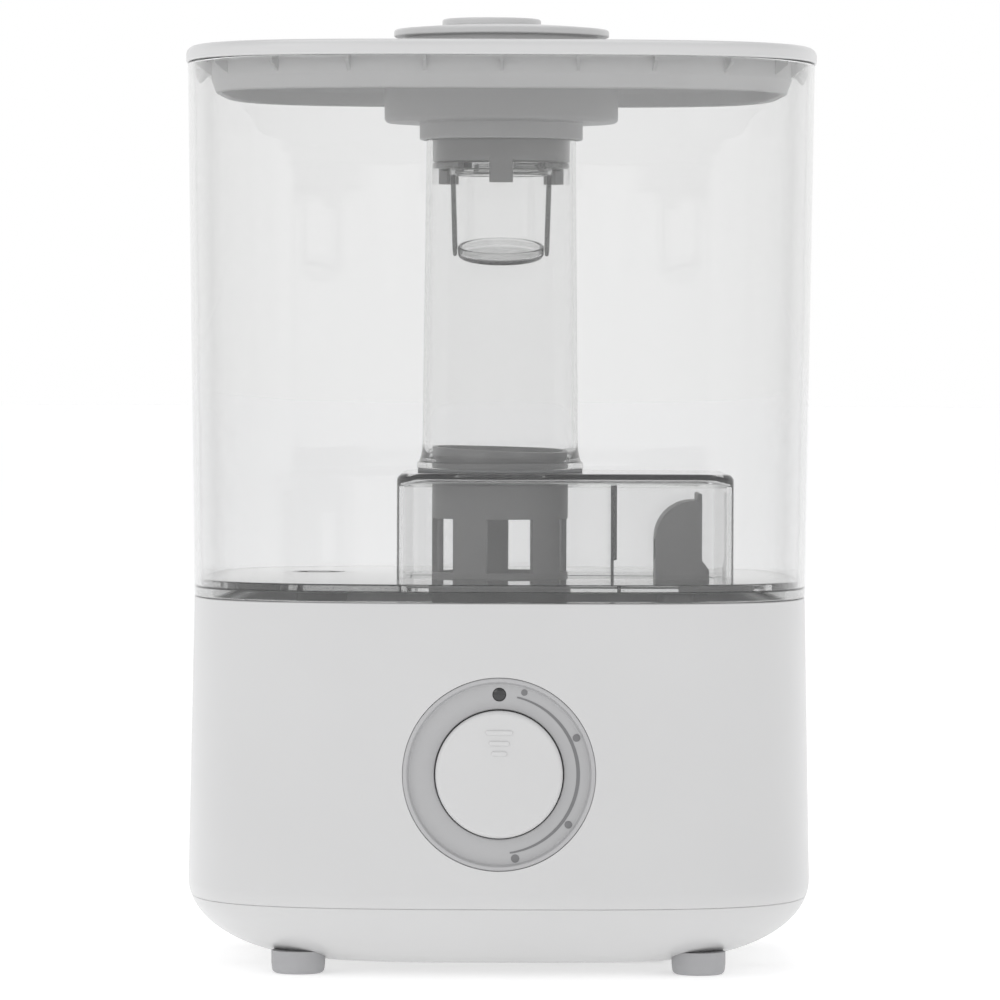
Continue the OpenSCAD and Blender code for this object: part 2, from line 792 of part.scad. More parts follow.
module potentiometer() {
    bush_top = pocket_floor + nut_t + 0.8;
    color(steel) at_dial() difference() {
        union() {
            translate([0, 0, control_z]) cylinder(d = pot_d, h = pot_t);
            translate([0, 0, pocket_floor - ring_wall - eps])
                cylinder(d = bush_d, h = bush_top - pocket_floor + ring_wall + eps, $fn = 48);
        }
        translate([0, 0, control_z + 1]) cylinder(d = shaft_d + 2 * run_gap, h = 40, $fn = 48);
    }
}

module pot_nut() {
    color(brass) at_dial() translate([0, 0, pocket_floor]) difference() {
        cylinder(r = bush_d / 2 + 2.6, h = nut_t, $fn = 6);
        translate([0, 0, -1]) cylinder(d = bush_d, h = nut_t + 2, $fn = 48);
    }
}

module status_led() {
    lens_back = ring_floor - ring_wall - 1.8;
    color([0.9, 0.95, 1]) at_dial() translate([0, lens_r, 0]) {
        translate([0, 0, lens_back - 5]) cylinder(d = 3, h = 4, $fn = 32);
        translate([0, 0, lens_back - 1]) sphere(d = 2.98, $fn = 24);
        for (side = [-0.9, 0.9]) translate([side, 0, control_z])
            cylinder(d = 0.6, h = lens_back - 5 - control_z + eps, $fn = 16);
    }
}

module dc_jack() {
    color(dark) translate([jack_place.x, 0, jack_place.z]) difference() {
        union() {
            translate([0, jack_place.y, 0]) rotate([90, 0, 0]) cylinder(d = jack_d, h = 12);
            block(-jack_d / 2 - 2, jack_d / 2 + 2, jack_place.y - 16, jack_place.y - 6,
                -jack_d / 2 - 1.5, jack_d / 2 + 1.5);
        }
        translate([0, jack_place.y + 1, 0]) rotate([90, 0, 0]) cylinder(d = jack_bore, h = 11, $fn = 48);
        translate([0, jack_place.y, 0]) rotate([90, 0, 0]) cylinder(d = jack_pin_d, h = 17, $fn = 32);
    }
}

module jack_pin() {
    color(steel) translate([jack_place.x, jack_place.y - 1.5, jack_place.z]) rotate([90, 0, 0])
        cylinder(d = jack_pin_d, h = 14, $fn = 32);
}

module reed_switch() {
    z = tray_z0 - 2.2;
    color(off_white) translate([-valve_x, pivot_y - lever_long, 0]) union() {
        translate([0, 0, z]) rotate([0, 90, 0]) cylinder(d = 3, h = 18, center = true, $fn = 32);
        for (side = [-1, 1]) translate([side * 7, 0, (z + tray_z0) / 2])
            cube([2, 4, tray_z0 - z], center = true);
    }
}

// ---- dial ----

module dial_ring() {
    r = ring_d / 2;
    pocket_out = pocket_r + ring_wall;
    profile = [[bush_d / 2 + 0.1, pocket_floor - ring_wall], [pocket_out, pocket_floor - ring_wall],
        [pocket_out, ring_floor - ring_wall], [r + 3, flange_front - ring_wall],
        [r + 3, flange_front], [r, flange_front], [r, ring_face - 0.4], [r - 0.4, ring_face],
        [r - ring_wall, ring_face], [r - ring_wall - 0.5, ring_floor], [pocket_r + 0.3, ring_floor],
        [pocket_r, ring_floor - 0.3], [pocket_r, pocket_floor], [bush_d / 2 + 0.1, pocket_floor]];
    color(mid_gray) at_dial() difference() {
        rotate_extrude($fn = 96) polygon(profile);
        translate([0, lens_r, ring_floor - ring_wall - 3])
            cylinder(d = lens_d + 2 * fixed_gap, h = 9, $fn = 32);
    }
}

module led_lens() {
    color(dark) at_dial() translate([0, lens_r, ring_floor - ring_wall - 1])
        cylinder(d = lens_d, h = ring_wall + 1.25, $fn = 32);
}

// printed scale: an arc that grows thicker clockwise, and four setting dots
module dial_marks() {
    t = 0.15;
    arc_r = lens_r - 0.2;
    a0 = 77;
    a1 = a0 - knob_turn + 11;
    n = 32;
    function edge(i, side) = let (
        a = a0 + (a1 - a0) * i / n,
        r = arc_r + side * (0.25 + 0.25 * sin(180 * i / n)))
        [r * cos(a), r * sin(a)];
    band = concat([for (i = [0:n]) edge(i, 1)], [for (i = [n:-1:0]) edge(i, -1)]);
    dots = [[0.1, 2], [0.38, 2.4], [0.74, 2.4], [0.994, 2.6]];
    color([0.45, 0.45, 0.46]) at_dial() translate([0, 0, ring_floor]) {
        linear_extrude(t) polygon(band);
        for (dot = dots) rotate(-dot[0] * knob_turn) translate([0, arc_r + 2, 0])
            cylinder(d = dot[1], h = t, $fn = 24);
    }
}

module knob() {
    r = knob_d / 2;
    edge = 2;
    skirt = 1.6;
    face_t = 2.5;
    back = pocket_floor + 0.4;
    boss_r = shaft_d / 2 + 2.2;
    boss_back = pocket_floor + nut_t + 1.2;
    rim = [for (i = [0:6]) let (a = 15 * i) [r - edge + edge * cos(a), knob_proud - edge + edge * sin(a)]];
    profile = concat([[0, knob_proud - face_t], [boss_r, knob_proud - face_t],
        [r - skirt, knob_proud - face_t], [r - skirt, back], [r, back]], rim, [[0, knob_proud]]);
    bars = [[13, 7], [9.7, 5], [6.5, 3.5]];
    color(white) at_dial() difference() {
        union() {
            rotate_extrude($fn = 96) polygon(profile);
            translate([0, 0, boss_back]) cylinder(r = boss_r, h = knob_proud - face_t - boss_back + 0.5);
            for (bar = bars) translate([0, bar[0], knob_proud - 0.5]) {
                translate([-bar[1] / 2, -0.7, 0]) cube([bar[1], 1.4, 0.95]);
                for (side = [-1, 1]) translate([side * bar[1] / 2, 0, 0])
                    cylinder(r = 0.7, h = 0.95, $fn = 24);
            }
        }
        translate([0, 0, boss_back - 1])
            cylinder(d = shaft_d, h = knob_proud - 1.5 - boss_back + 1, $fn = 48);
    }
}

module dial_shaft() {
    z0 = control_z + 1.2;
    z1 = knob_proud - 1.7;
    color(steel) at_dial() translate([0, 0, z0]) cylinder(d = shaft_d, h = z1 - z0, $fn = 48);
}

// ---- feet and screws of the base ----

module rubber_feet() {
    r = foot_d / 2;
    soft = 1.4;
    profile = concat([[0, 0], [r - soft - 0.4, 0]],
        [for (i = [0:5]) let (a = -90 + 18 * i) [r - soft - 0.4 + soft * cos(a), soft + soft * sin(a)]],
        [[r, foot_seat], [foot_stem_d / 2, foot_seat], [foot_stem_d / 2, foot_seat + foot_stem_h],
        [0, foot_seat + foot_stem_h]]);
    color(rubber_gray) at_feet() rotate_extrude($fn = 48) polygon(profile);
}

module case_screws() {
    color(steel) at_corners(case_x, case_y)
        screw(case_seat, part_z - case_seat + case_bite);
}

// ---- valve and float ----

module float_arm() {
    y_float = pivot_y - lever_long;
    top = float_z + float_t;
    pad_end = valve_y + 3.5;
    side = [[y_float - 9, top], [pivot_y - 11, top], [pivot_y - 4, pivot_z - arm_t / 2],
        [pad_end, pad_z - arm_t], [pad_end, pad_z], [pivot_y + 3, pivot_z],
        [pivot_y - 3, pivot_z + arm_t / 2], [pivot_y - 10, top + arm_t], [y_float - 9, top + arm_t]];
    color(white) difference() {
        union() {
            translate([-valve_x, 0, 0]) rotate([90, 0, 90])
                linear_extrude(arm_w, center = true) polygon(side);
            translate([-valve_x, pivot_y, pivot_z]) rotate([0, 90, 0])
                cylinder(r = barrel_r, h = barrel_w, center = true, $fn = 48);
        }
        translate([-valve_x, pivot_y, pivot_z]) rotate([0, 90, 0])
            cylinder(d = pin_d + 2 * run_gap, h = 2 * barrel_w, center = true, $fn = 48);
    }
}

module float_block() {
    y_float = pivot_y - lever_long;
    half = float_size / 2;
    color(off_white) difference() {
        translate([0, 0, float_z]) linear_extrude(float_t)
            polygon(rounded(-valve_x - half, -valve_x + half, y_float - half, y_float + half, 4));
        translate([-valve_x, y_float, float_z - 1]) cylinder(d = magnet_d + 0.1, h = magnet_t + 1, $fn = 48);
    }
}

module float_magnet() {
    color(steel) translate([-valve_x, pivot_y - lever_long, float_z])
        cylinder(d = magnet_d, h = magnet_t, $fn = 48);
}

module lever_pin() {
    length = barrel_w + 2 * (lever_gap + ear_t) + 1;
    color(steel) translate([-valve_x, pivot_y, pivot_z]) rotate([0, 90, 0])
        cylinder(d = pin_d, h = length, center = true, $fn = 48);
}

module valve_guide() {
    color(white) translate([-valve_x, valve_y, 0]) difference() {
        union() {
            translate([0, 0, seat_z0]) cylinder(r = valve_r, h = floor_z1 - seat_z0);
            translate([0, 0, floor_z0 - 1.5]) cylinder(r = valve_r + 3, h = 1.5);
        }
        translate([0, 0, seat_z0 - 1]) cylinder(r = seat_r, h = 4);
        translate([0, 0, seat_z0 + seat_t])
            cylinder(r = valve_r - valve_wall, h = spring_z1 - seat_z0 - seat_t);
        difference() {
            translate([0, 0, spring_z1 - eps]) cylinder(r = valve_r - valve_wall, h = 10);
            translate([0, 0, spring_z1]) cube([3.4, 2 * valve_r, 20], center = true);
            translate([0, 0, spring_z1 - 1]) cylinder(r = stem_r + 2, h = 20, $fn = 32);
        }
        translate([0, 0, spring_z1 - 1]) cylinder(r = stem_r + 0.15, h = 20, $fn = 48);
    }
}

module valve_plunger() {
    z0 = pad_z + stem_gap;
    color(white) translate([-valve_x, valve_y, 0]) union() {
        translate([0, 0, z0 + stem_r]) sphere(r = stem_r, $fn = 48);
        translate([0, 0, z0 + stem_r]) cylinder(r = stem_r, h = floor_z1 - z0 - stem_r - 0.3, $fn = 48);
        translate([0, 0, seal_z + seal_t]) cylinder(r = plunger_r, h = plunger_flange_t);
    }
}

module valve_seal() {
    color(dark) translate([-valve_x, valve_y, 0]) tube(plunger_r, stem_r, seal_z, seal_z + seal_t);
}

module valve_spring() {
    wire_r = 0.4;
    turns = 4;
    coil_r = plunger_r - 1.2;
    steps = 18 * turns;
    path = [for (i = [0:steps]) let (a = 360 * turns * i / steps)
        [coil_r * cos(a), coil_r * sin(a),
            spring_z0 + wire_r + (spring_z1 - spring_z0 - 2 * wire_r) * i / steps]];
    color(steel) translate([-valve_x, valve_y, 0]) wire(path, wire_r);
}

// ---- mist guide ----

module mist_guide() {
    r = guide_d / 2;
    lean = 2.5;
    notch = 8;
    color(mid_gray) difference() {
        union() {
            tube(r, r - guide_wall, tray_z1, guide_top + r);
            tube(r + 3.5, r - guide_wall, tray_z1, tray_z1 + 1.6);
        }
        translate([0, 0, guide_top]) rotate([0, lean, 0]) translate([-3 * r, -3 * r, 0]) cube(6 * r);
        for (i = [0:slot_n - 1]) rotate(slot_turn - 90 + 360 * i / slot_n) {
            translate([0, -slot_w / 2, slot_z]) cube([2 * r, slot_w, slot_h]);
            translate([r / 2, -notch / 2, tray_z1 - 1]) cube([r, notch, notch + 1]);
        }
    }
}

// ---- tank ----

module tank_wall() {
    foot = tank_foot_in + tank_wall_t;
    color(clear) difference() {
        loft([[seam_z, tank_foot_in], [rim_z, tank_rim_in]]);
        loft([[floor_z0, foot], [rim_z + 1, tank_rim_in + tank_wall_t]]);
        slab(foot + 3.5, seam_z - 1, floor_z0 + 1);
    }
}

function chamber_ring(inset, r, z) = [for (p = rounded(chamber_x0 + inset, chamber_x1 - inset,
    inset - chamber_d / 2, chamber_d / 2 - inset, r - inset)) [p.x, p.y, z]];

module chamber(inset, z0) {
    r = 9;
    top = chamber_z - inset;
    edge = 2.5;
    skin([chamber_ring(inset, r, z0), chamber_ring(inset, r, top - edge),
        chamber_ring(inset + edge * 0.3, r, top - edge * 0.3), chamber_ring(inset + edge, r, top)]);
}

module tank_floor() {
    baffle_half = chamber_d / 2 - 12;
    color(clear) union() {
        difference() {
            union() {
                slab(tank_foot_in + tank_wall_t + fixed_gap, floor_z0, floor_z1);
                chamber(0, floor_z0);
            }
            chamber(chamber_wall, floor_z0 - 1);
            translate([0, 0, floor_z0]) cylinder(r = tube_bore_r, h = 2 * chamber_h);
            translate([-valve_x, valve_y, floor_z0 - 1]) cylinder(r = valve_r + fixed_gap, h = floor_t + 2);
        }
        block(baffle_x, baffle_x + 2, -baffle_half, baffle_half,
            floor_z0 + 8, chamber_z - chamber_wall + 0.5);
        block(baffle_x, baffle_x + 1, -baffle_half, baffle_half, seam_z + 1.2, floor_z0 + 8.5);
    }
}

module tube_gasket() {
    color(rubber_gray) tube(tube_foot_r - 0.3, tube_bore_r, chamber_z, tube_z0);
}

module mist_tube() {
    blend_z = tube_z0 + tube_foot_h;
    foot_curve = [for (i = [0:6]) let (a = 15 * i)
        [tube_r0 + (tube_foot_r - tube_r0) * (1 - sin(a)), blend_z + tube_foot_blend * (1 - cos(a))]];
    profile = concat([[tube_bore_r, tube_z0], [tube_foot_r, tube_z0], [tube_foot_r, blend_z]],
        foot_curve, [[tube_r1, tube_z1], [tube_r1 - tube_wall, tube_z1],
        [tube_bore_r, blend_z + tube_foot_blend]]);
    color(clear) rotate_extrude($fn = 96) polygon(profile);
}

// ---- lid ----

module lid_cover() {
    steps = 5;
    color(white) difference() {
        loft(concat([[rim_z, 0]], [for (i = [0:steps]) let (a = 90 * i / steps)
            [lid_z - lid_round + lid_round * sin(a), lid_round * (1 - cos(a))]]));
        slab(cover_in, rim_z - 1, rim_z + cover_pocket);
        translate([0, 0, rim_z]) cylinder(r = well_in_r, h = 2 * lid_t);
    }
}

// lengths along the skirt's outline, for evenly spaced ribs
skirt_path = outline(skirt_in);
function run(i) = i == 0 ? 0 : run(i - 1) + norm(skirt_path[i % outline_n] - skirt_path[i - 1]);
runs = [for (i = [0:outline_n]) run(i)];
function at_run(s, i = 0) = runs[i + 1] >= s || i == outline_n - 1
    ? let (p = skirt_path[i], q = skirt_path[(i + 1) % outline_n])
        [p + (q - p) * (s - runs[i]) / (runs[i + 1] - runs[i]), q - p]
    : at_run(s, i + 1);

module lid_liner() {
    low = rim_z - skirt_h;
    taper_z = rim_z - rib_h;
    reach = skirt_in - tank_rim_in - tank_wall_t - 1;
    over = skirt_in - cover_in - 0.6;
    color(off_white) difference() {
        union() {
            slab(cover_in + fixed_gap, liner_z0, liner_z1);
            loft([[low, skirt_in + 1.5], [taper_z, skirt_in], [liner_z1 - 0.5, skirt_in]]);
            for (i = [0:rib_n - 1]) {
                place = at_run(runs[outline_n] * (i + (rib_n / 4) % 1) / rib_n);
                heading = atan2(place[1].y, place[1].x);
                translate([place[0].x, place[0].y, 0]) rotate([0, 0, heading]) rotate([90, 0, -90])
                    linear_extrude(rib_t, center = true)
                        polygon([[-1, liner_z0], [over, liner_z0], [over, rim_z - loose_gap],
                            [reach, rim_z - loose_gap], [reach, rim_z - 1.5], [-1, taper_z]]);
            }
        }
        loft([[low - 1, skirt_in + 1.5 + skirt_wall], [taper_z, skirt_in + skirt_wall],
            [liner_z0, skirt_in + skirt_wall]]);
        translate([0, 0, rim_z - 1]) cylinder(r = well_d / 2 + fixed_gap, h = 2 * lid_t);
    }
}

module guard_hook() {
    translate([bore_r, -hook_w / 2, hook_z]) cube([hook_t, hook_w, holder_z - hook_z + 1]);
    translate([bore_r - hook_foot, -hook_w / 2, hook_z])
        cube([hook_foot + eps, hook_w, guard_z0 - loose_gap - hook_z]);
}

module nozzle_well() {
    r = well_d / 2;
    soft = 1.3;
    edge = [for (i = [0:4]) let (a = -22.5 * i)
        [r - soft + soft * cos(a), nozzle_floor_z0 + soft + soft * sin(a)]];
    profile = concat([[r, rim_z + cover_pocket]], edge,
        [[sleeve_r, nozzle_floor_z0], [sleeve_r, sleeve_z], [sleeve_r - sleeve_wall, sleeve_z],
        [sleeve_r - sleeve_wall, nozzle_floor_z0 - 1], [holder_r, nozzle_floor_z0 - 1], [holder_r, holder_z],
        [bore_r, holder_z], [bore_r, nozzle_floor_z1], [well_in_r, nozzle_floor_z1],
        [well_in_r, rim_z + cover_pocket]]);
    color(off_white) union() {
        rotate_extrude($fn = 128) polygon(profile);
        for (i = [0:2]) rotate(120 * i - 90) guard_hook();
    }
}

module splash_guard() {
    arm_r = guard_in_r - 1;
    arm_t = 2;
    dish_r = dish_d / 2;
    hook_half = asin(hook_w / 2 / bore_r) + 1.5;
    module window(r0, a0, a1) {
        rotate(a0) translate([0, 0, guard_z0 - 1]) rotate_extrude(angle = a1 - a0, $fn = 96)
            translate([r0, 0]) square([guard_r - r0 + 1, guard_ring_t + 2]);
    }
    color(clear) union() {
        difference() {
            tube(guard_r, guard_in_r - 1.5, guard_z0, guard_z1);
            for (i = [0:2]) rotate(120 * i - 90) {
                window(bore_r - 0.4, -hook_half - guard_twist, hook_half);
                window(bore_r - hook_foot - 0.6, -hook_half - guard_twist, hook_half - guard_twist);
            }
        }
        tube(guard_in_r, guard_in_r - 1.5, guard_z0 - 2, guard_z0 + eps);
        for (side = [0, 180]) rotate(side) rotate([90, 0, 0]) linear_extrude(5, center = true)
            polygon([[arm_r, guard_z0 - 1], [arm_r - arm_t, guard_z0 - 1],
                [dish_r - arm_t, dish_z + 5], [dish_r - 0.6, dish_z + 3], [dish_r + 0.6, dish_z + 5]]);
        translate([0, 0, dish_z + dish_r * sin(dish_tilt)]) rotate([dish_tilt, 0, 0]) difference() {
            cylinder(r = dish_r, h = dish_h);
            translate([0, 0, dish_wall]) cylinder(r = dish_r - dish_wall, h = dish_h);
        }
    }
}

// ---- nozzle ----

module mist_nozzle() {
    r = nozzle_d / 2;
    e = nozzle_edge / 2;
    edge = [for (i = [0:4]) let (a = -90 + 30 * i) [r - e + e * cos(a), nozzle_z0 + e + e * sin(a)]];
    dome = [for (i = [1:6]) let (u = i / 6)
        [(r - e / 2) * (1 - u), nozzle_z1 + nozzle_dome * (1 - pow(1 - u, 2))]];
    t = 2.2;
    under = [for (i = [6:-1:1]) let (u = i / 6) [(neck_r - neck_wall) * (1 - u),
        nozzle_z1 + nozzle_dome * (1 - pow((1 - u) * 0.8, 2)) - t]];
    profile = concat([[neck_r, nozzle_floor_z1 + 0.2], [neck_r, nozzle_z0]], edge, dome, under,
        [[neck_r - neck_wall, nozzle_z1 - 1], [neck_r - neck_wall, nozzle_floor_z1 + 0.2]]);
    color(off_white) difference() {
        rotate_extrude($fn = 128) polygon(profile);
        translate([-cap_off, 0, 0]) {
            translate([0, 0, nozzle_z0 - 2]) cylinder(r = outlet_r + fixed_gap, h = 20);
            translate([0, 0, cap_seat]) cylinder(r = cap_d / 2 + fixed_gap, h = 20);
        }
    }
}

module nozzle_cap() {
    r = cap_d / 2;
    hole_r = outlet_r - 1.8;
    bar = 1.6;
    color(white) translate([-cap_off, 0, 0]) union() {
        difference() {
            union() {
                translate([0, 0, cap_seat]) cylinder(r = r, h = cap_top - 0.6 - cap_seat);
                translate([0, 0, cap_top - 0.6 - eps]) cylinder(r = r - 0.5, h = 0.6 + eps);
                translate([0, 0, nozzle_z0 - 1]) cylinder(r = outlet_r, h = cap_seat - nozzle_z0 + 1 + eps);
            }
            translate([0, 0, nozzle_z0 - 2]) cylinder(r = hole_r, h = 20);
        }
        intersection() {
            for (side = [-1, 1]) translate([side * 0.37 * hole_r - bar / 2, -cap_d / 2, nozzle_z0])
                cube([bar, cap_d, 3]);
            cylinder(r = outlet_r - 0.5, h = 2 * cap_top);
        }
    }
}

base_shell();
base_pan();
water_basin();
air_cowl();
air_duct();
fan_case();
fan_rotor();
fan_screws();
filter_sponge();
transducer_disc();
transducer_seal();
transducer_bracket();
transducer_screws();
driver_board();
driver_parts();
heatsink();
board_screws();
control_board();
potentiometer();
pot_nut();
dial_ring();
dial_marks();
led_lens();
status_led();
knob();
dial_shaft();
rubber_feet();
case_screws();
dc_jack();
jack_pin();
float_arm();
float_block();
float_magnet();
lever_pin();
reed_switch();
mist_guide();
tank_wall();
tank_floor();
tube_gasket();
mist_tube();
valve_guide();
valve_plunger();
valve_seal();
valve_spring();
lid_cover();
lid_liner();
nozzle_well();
splash_guard();
mist_nozzle();
nozzle_cap();
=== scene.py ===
import math
from types import SimpleNamespace

import bpy
import bmesh
import numpy as np
from bpy.props import FloatProperty, FloatVectorProperty, IntProperty, PointerProperty
from mathutils import Matrix, Vector


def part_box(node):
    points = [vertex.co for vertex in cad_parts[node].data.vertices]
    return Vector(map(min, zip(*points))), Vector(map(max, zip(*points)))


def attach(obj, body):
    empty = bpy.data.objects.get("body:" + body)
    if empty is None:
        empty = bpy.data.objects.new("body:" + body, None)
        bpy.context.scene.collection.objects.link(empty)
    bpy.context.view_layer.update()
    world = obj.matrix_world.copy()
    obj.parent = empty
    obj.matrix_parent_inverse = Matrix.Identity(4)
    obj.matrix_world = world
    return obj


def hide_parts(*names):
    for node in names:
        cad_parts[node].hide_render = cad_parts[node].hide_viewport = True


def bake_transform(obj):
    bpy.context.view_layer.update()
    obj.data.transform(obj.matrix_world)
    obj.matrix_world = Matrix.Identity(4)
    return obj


bl_info = {
    "name": "Cool mist humidifier",
    "version": (1, 0, 0),
    "blender": (4, 5, 0),
    "location": "3D View > Sidebar > Humidifier",
    "description": "Builds a cool mist humidifier with a clear tank, piece by piece",
    "category": "Add Mesh",
}

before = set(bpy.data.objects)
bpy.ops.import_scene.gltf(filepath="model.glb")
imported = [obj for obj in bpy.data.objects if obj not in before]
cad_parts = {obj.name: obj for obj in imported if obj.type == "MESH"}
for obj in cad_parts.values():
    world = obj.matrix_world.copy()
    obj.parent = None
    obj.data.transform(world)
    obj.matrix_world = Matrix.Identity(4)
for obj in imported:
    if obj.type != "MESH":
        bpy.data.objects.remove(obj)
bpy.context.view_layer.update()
MM = 0.001


def cad_span(node, axis):
    """Width of a frame node along an axis."""
    low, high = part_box(node)
    return round(high[axis] - low[axis], 5)


def cad_low(node):
    return round(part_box(node)[0].z, 5)


def cad_top(node):
    return round(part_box(node)[1].z, 5)


def length(name, description, default, low, high):
    return FloatProperty(name=name, description=description, default=default, min=low, max=high,
                         unit="LENGTH", subtype="DISTANCE", precision=4)


def colour(name, description, default):
    return FloatVectorProperty(name=name, description=description, default=default, size=3,
                               min=0.0, max=1.0, subtype="COLOR")


class HumidifierSizes(bpy.types.PropertyGroup):
    """Sizes of the humidifier, which start at those of the frame"""
    width: length("Width", "Width over the lid", cad_span("lid_cover", 0), 0.15, 0.3)
    depth: length("Depth", "Depth over the lid", cad_span("lid_cover", 1), 0.15, 0.3)
    squareness: FloatProperty(name="Squareness", description="2 is an ellipse, 5 nearly a box",
                              default=3.5, min=2.0, max=6.0)
    underside: length("Underside", "Height of the flat underside", cad_low("base_pan"), 0, 0.01)
    parting: length("Parting line", "Height where pan and base meet", cad_low("base_shell"),
                    0.01, 0.04)
    seam: length("Seam", "Height where base and tank meet", cad_top("base_shell"), 0.08, 0.16)
    rim: length("Tank rim", "Height of the tank's rim", cad_top("tank_wall"), 0.2, 0.4)
    lid_top: length("Lid top", "Height of the lid's top", cad_top("lid_cover"), 0.2, 0.4)
    base_wall: length("Base wall", "Wall of the base mouldings", 0.0025, 0.001, 0.004)
    tank_wall: length("Tank wall", "Wall of the clear tank", 0.0022, 0.001, 0.004)
    tube: length("Mist tube", "Diameter of the mist tube at its top", 0.0482, 0.03, 0.06)
    guide: length("Mist guide", "Diameter of the slotted guide", 0.044, 0.03, 0.05)
    dial: length("Dial ring", "Diameter of the dial ring", 0.06, 0.04, 0.08)
    dial_height: length("Dial height", "Height of the dial's centre", 0.0647, 0.05, 0.08)
    knob: length("Knob", "Diameter of the knob", cad_span("knob", 0), 0.03, 0.05)
    nozzle: length("Nozzle", "Diameter of the turning nozzle", cad_span("mist_nozzle", 0),
                   0.05, 0.09)
    ribs: IntProperty(name="Ribs", description="Centring ribs round the lid's skirt",
                      default=26, min=4, max=60)


class HumidifierFinish(bpy.types.PropertyGroup):
    """Colours of the humidifier's mouldings"""
    white: colour("White", "Base, lid and knob", (0.625, 0.625, 0.625))
    # Brighter than White though of the same white plastic: painted light for the shaded underside
    # of the lid; the basin, duct, float and reed switch share it.
    inner: colour("Inner lit white", "Basin, duct and lid liner", (0.88, 0.88, 0.88))
    gray: colour("Gray", "Dial ring", (0.46, 0.46, 0.465))
    # The mist guide and air cowl are white plastic; this gray is painted shade for their place
    # inside the base.
    guide: colour("Guide shade gray", "Mist guide and air cowl", (0.46, 0.46, 0.462))
    # The nozzle well is white plastic like the lid; this gray is painted shade for its place under
    # the lid.
    well: colour("Well shade gray", "Nozzle well under the lid", (0.56, 0.56, 0.562))
    rubber: colour("Rubber", "Feet and gasket", (0.42, 0.42, 0.43))
    marks: colour("Print", "Marks on the dial", (0.2, 0.2, 0.205))
    tint: colour("Tint", "Light that a thick piece of the clear plastic lets through",
                 (0.6, 0.605, 0.6))
    tint_depth: FloatProperty(name="Tint depth", description="Strength of the tint, per metre",
                              default=90.0, min=0.0, max=500.0)
    # The floor plate is the same clear plastic as the tank; its weaker tint is painted light that
    # keeps the plate from going dark.
    floor_lit_depth: FloatProperty(name="Floor tint", description="The same for the tank's floor",
                               default=17.0, min=0.0, max=500.0)
    # The baffle and the guard are clear plastic; this strong tint is painted shade that darkens
    # them.
    shade_depth: FloatProperty(name="Smoke", description="The same for the baffle and the guard",
                               default=300.0, min=0.0, max=900.0)


# ---- surfaces ----
# A skin is an array of points in millimetres and a list of face arrays, one for each face size.

OUTLINE_POINTS = 288
MERGE_DISTANCE = 2e-6


def headings(sides):
    return np.linspace(0, 2 * np.pi, sides, endpoint=False)


def around(angle):
    """Unit vectors (cos a, sin a) at the given headings."""
    return np.stack([np.cos(angle), np.sin(angle)], -1)


def measure(scene):
    """The sizes in millimetres, with the heights and insets that follow from them."""
    s = scene.humidifier_sizes
    g = SimpleNamespace(
        half=np.array([s.width, s.depth]) / 2 / MM, power=s.squareness,
        bottom=s.underside / MM, parting=s.parting / MM, seam=s.seam / MM, rim=s.rim / MM,
        top=s.lid_top / MM, base_wall=s.base_wall / MM, tank_wall=s.tank_wall / MM,
        tube_r=s.tube / 2 / MM, guide_r=s.guide / 2 / MM, dial_r=s.dial / 2 / MM,
        dial_z=s.dial_height / MM, knob_r=s.knob / 2 / MM, nozzle_r=s.nozzle / 2 / MM, ribs=s.ribs)
    g.base_in, g.base_top_in = 1.3, 3.1
    g.round_w, g.round_h = 45.0, 25.0
    g.round_in = g.base_in + g.round_w
    g.wide = g.bottom + g.round_h
    g.front = g.half[1] - base_inset(g, g.dial_z)
    g.tilt = math.atan((g.base_top_in - g.base_in) / (g.seam - g.wide))
    g.flange = g.seam - 0.6
    g.tray = g.flange - 21.2
    g.floor = g.seam + 3.2
    g.floor_top = g.floor + 2.5
    g.roof = g.seam + 39.2
    g.tube_z0, g.tube_z1 = g.roof + 1, g.rim - 20.2
    g.tube_r0 = g.tube_r + 1.1
    g.tube_wall = 1.5
    g.well_floor = g.rim - 18.2
    g.sleeve = g.well_floor - 5.5
    g.holder = g.sleeve - 7.1
    g.holder_r = g.tube_r - g.tube_wall - 0.45
    g.bore_r = g.holder_r - 1.8
    g.valve = np.array([-60.0, 28.0])
    outline = unit_outline(g)
    g.outline = outline
    g.angle = np.arctan2(outline[:, 1] * g.half[1], outline[:, 0] * g.half[0])
    return g


def base_inset(g, z):
    """How far the base is inside the lid's edge at a height: a quarter ellipse, then a taper."""
    z = np.asarray(z, float)
    low = np.clip((g.wide - z) / g.round_h, 0, 1)
    curve = g.round_in - g.round_w * np.sqrt(1 - low ** 2)
    taper = g.base_in + (g.base_top_in - g.base_in) * (z - g.wide) / (g.seam - g.wide)
    return np.where(z < g.wide, curve, taper)


def unit_outline(g):
    """Points of |x|^p + |y|^p = 1, evenly spaced along the outline once it has its real size."""
    turn = np.linspace(0, 2 * np.pi, 16385)
    point = around(turn)
    point = np.sign(point) * np.abs(point) ** (2 / g.power)
    step = np.linalg.norm(np.diff(point * g.half, axis=0), axis=1)
    run = np.concatenate([[0], np.cumsum(step)])
    even = np.linspace(0, run[-1], OUTLINE_POINTS, endpoint=False)
    return np.stack([np.interp(even, run, point[:, k]) for k in (0, 1)], -1)


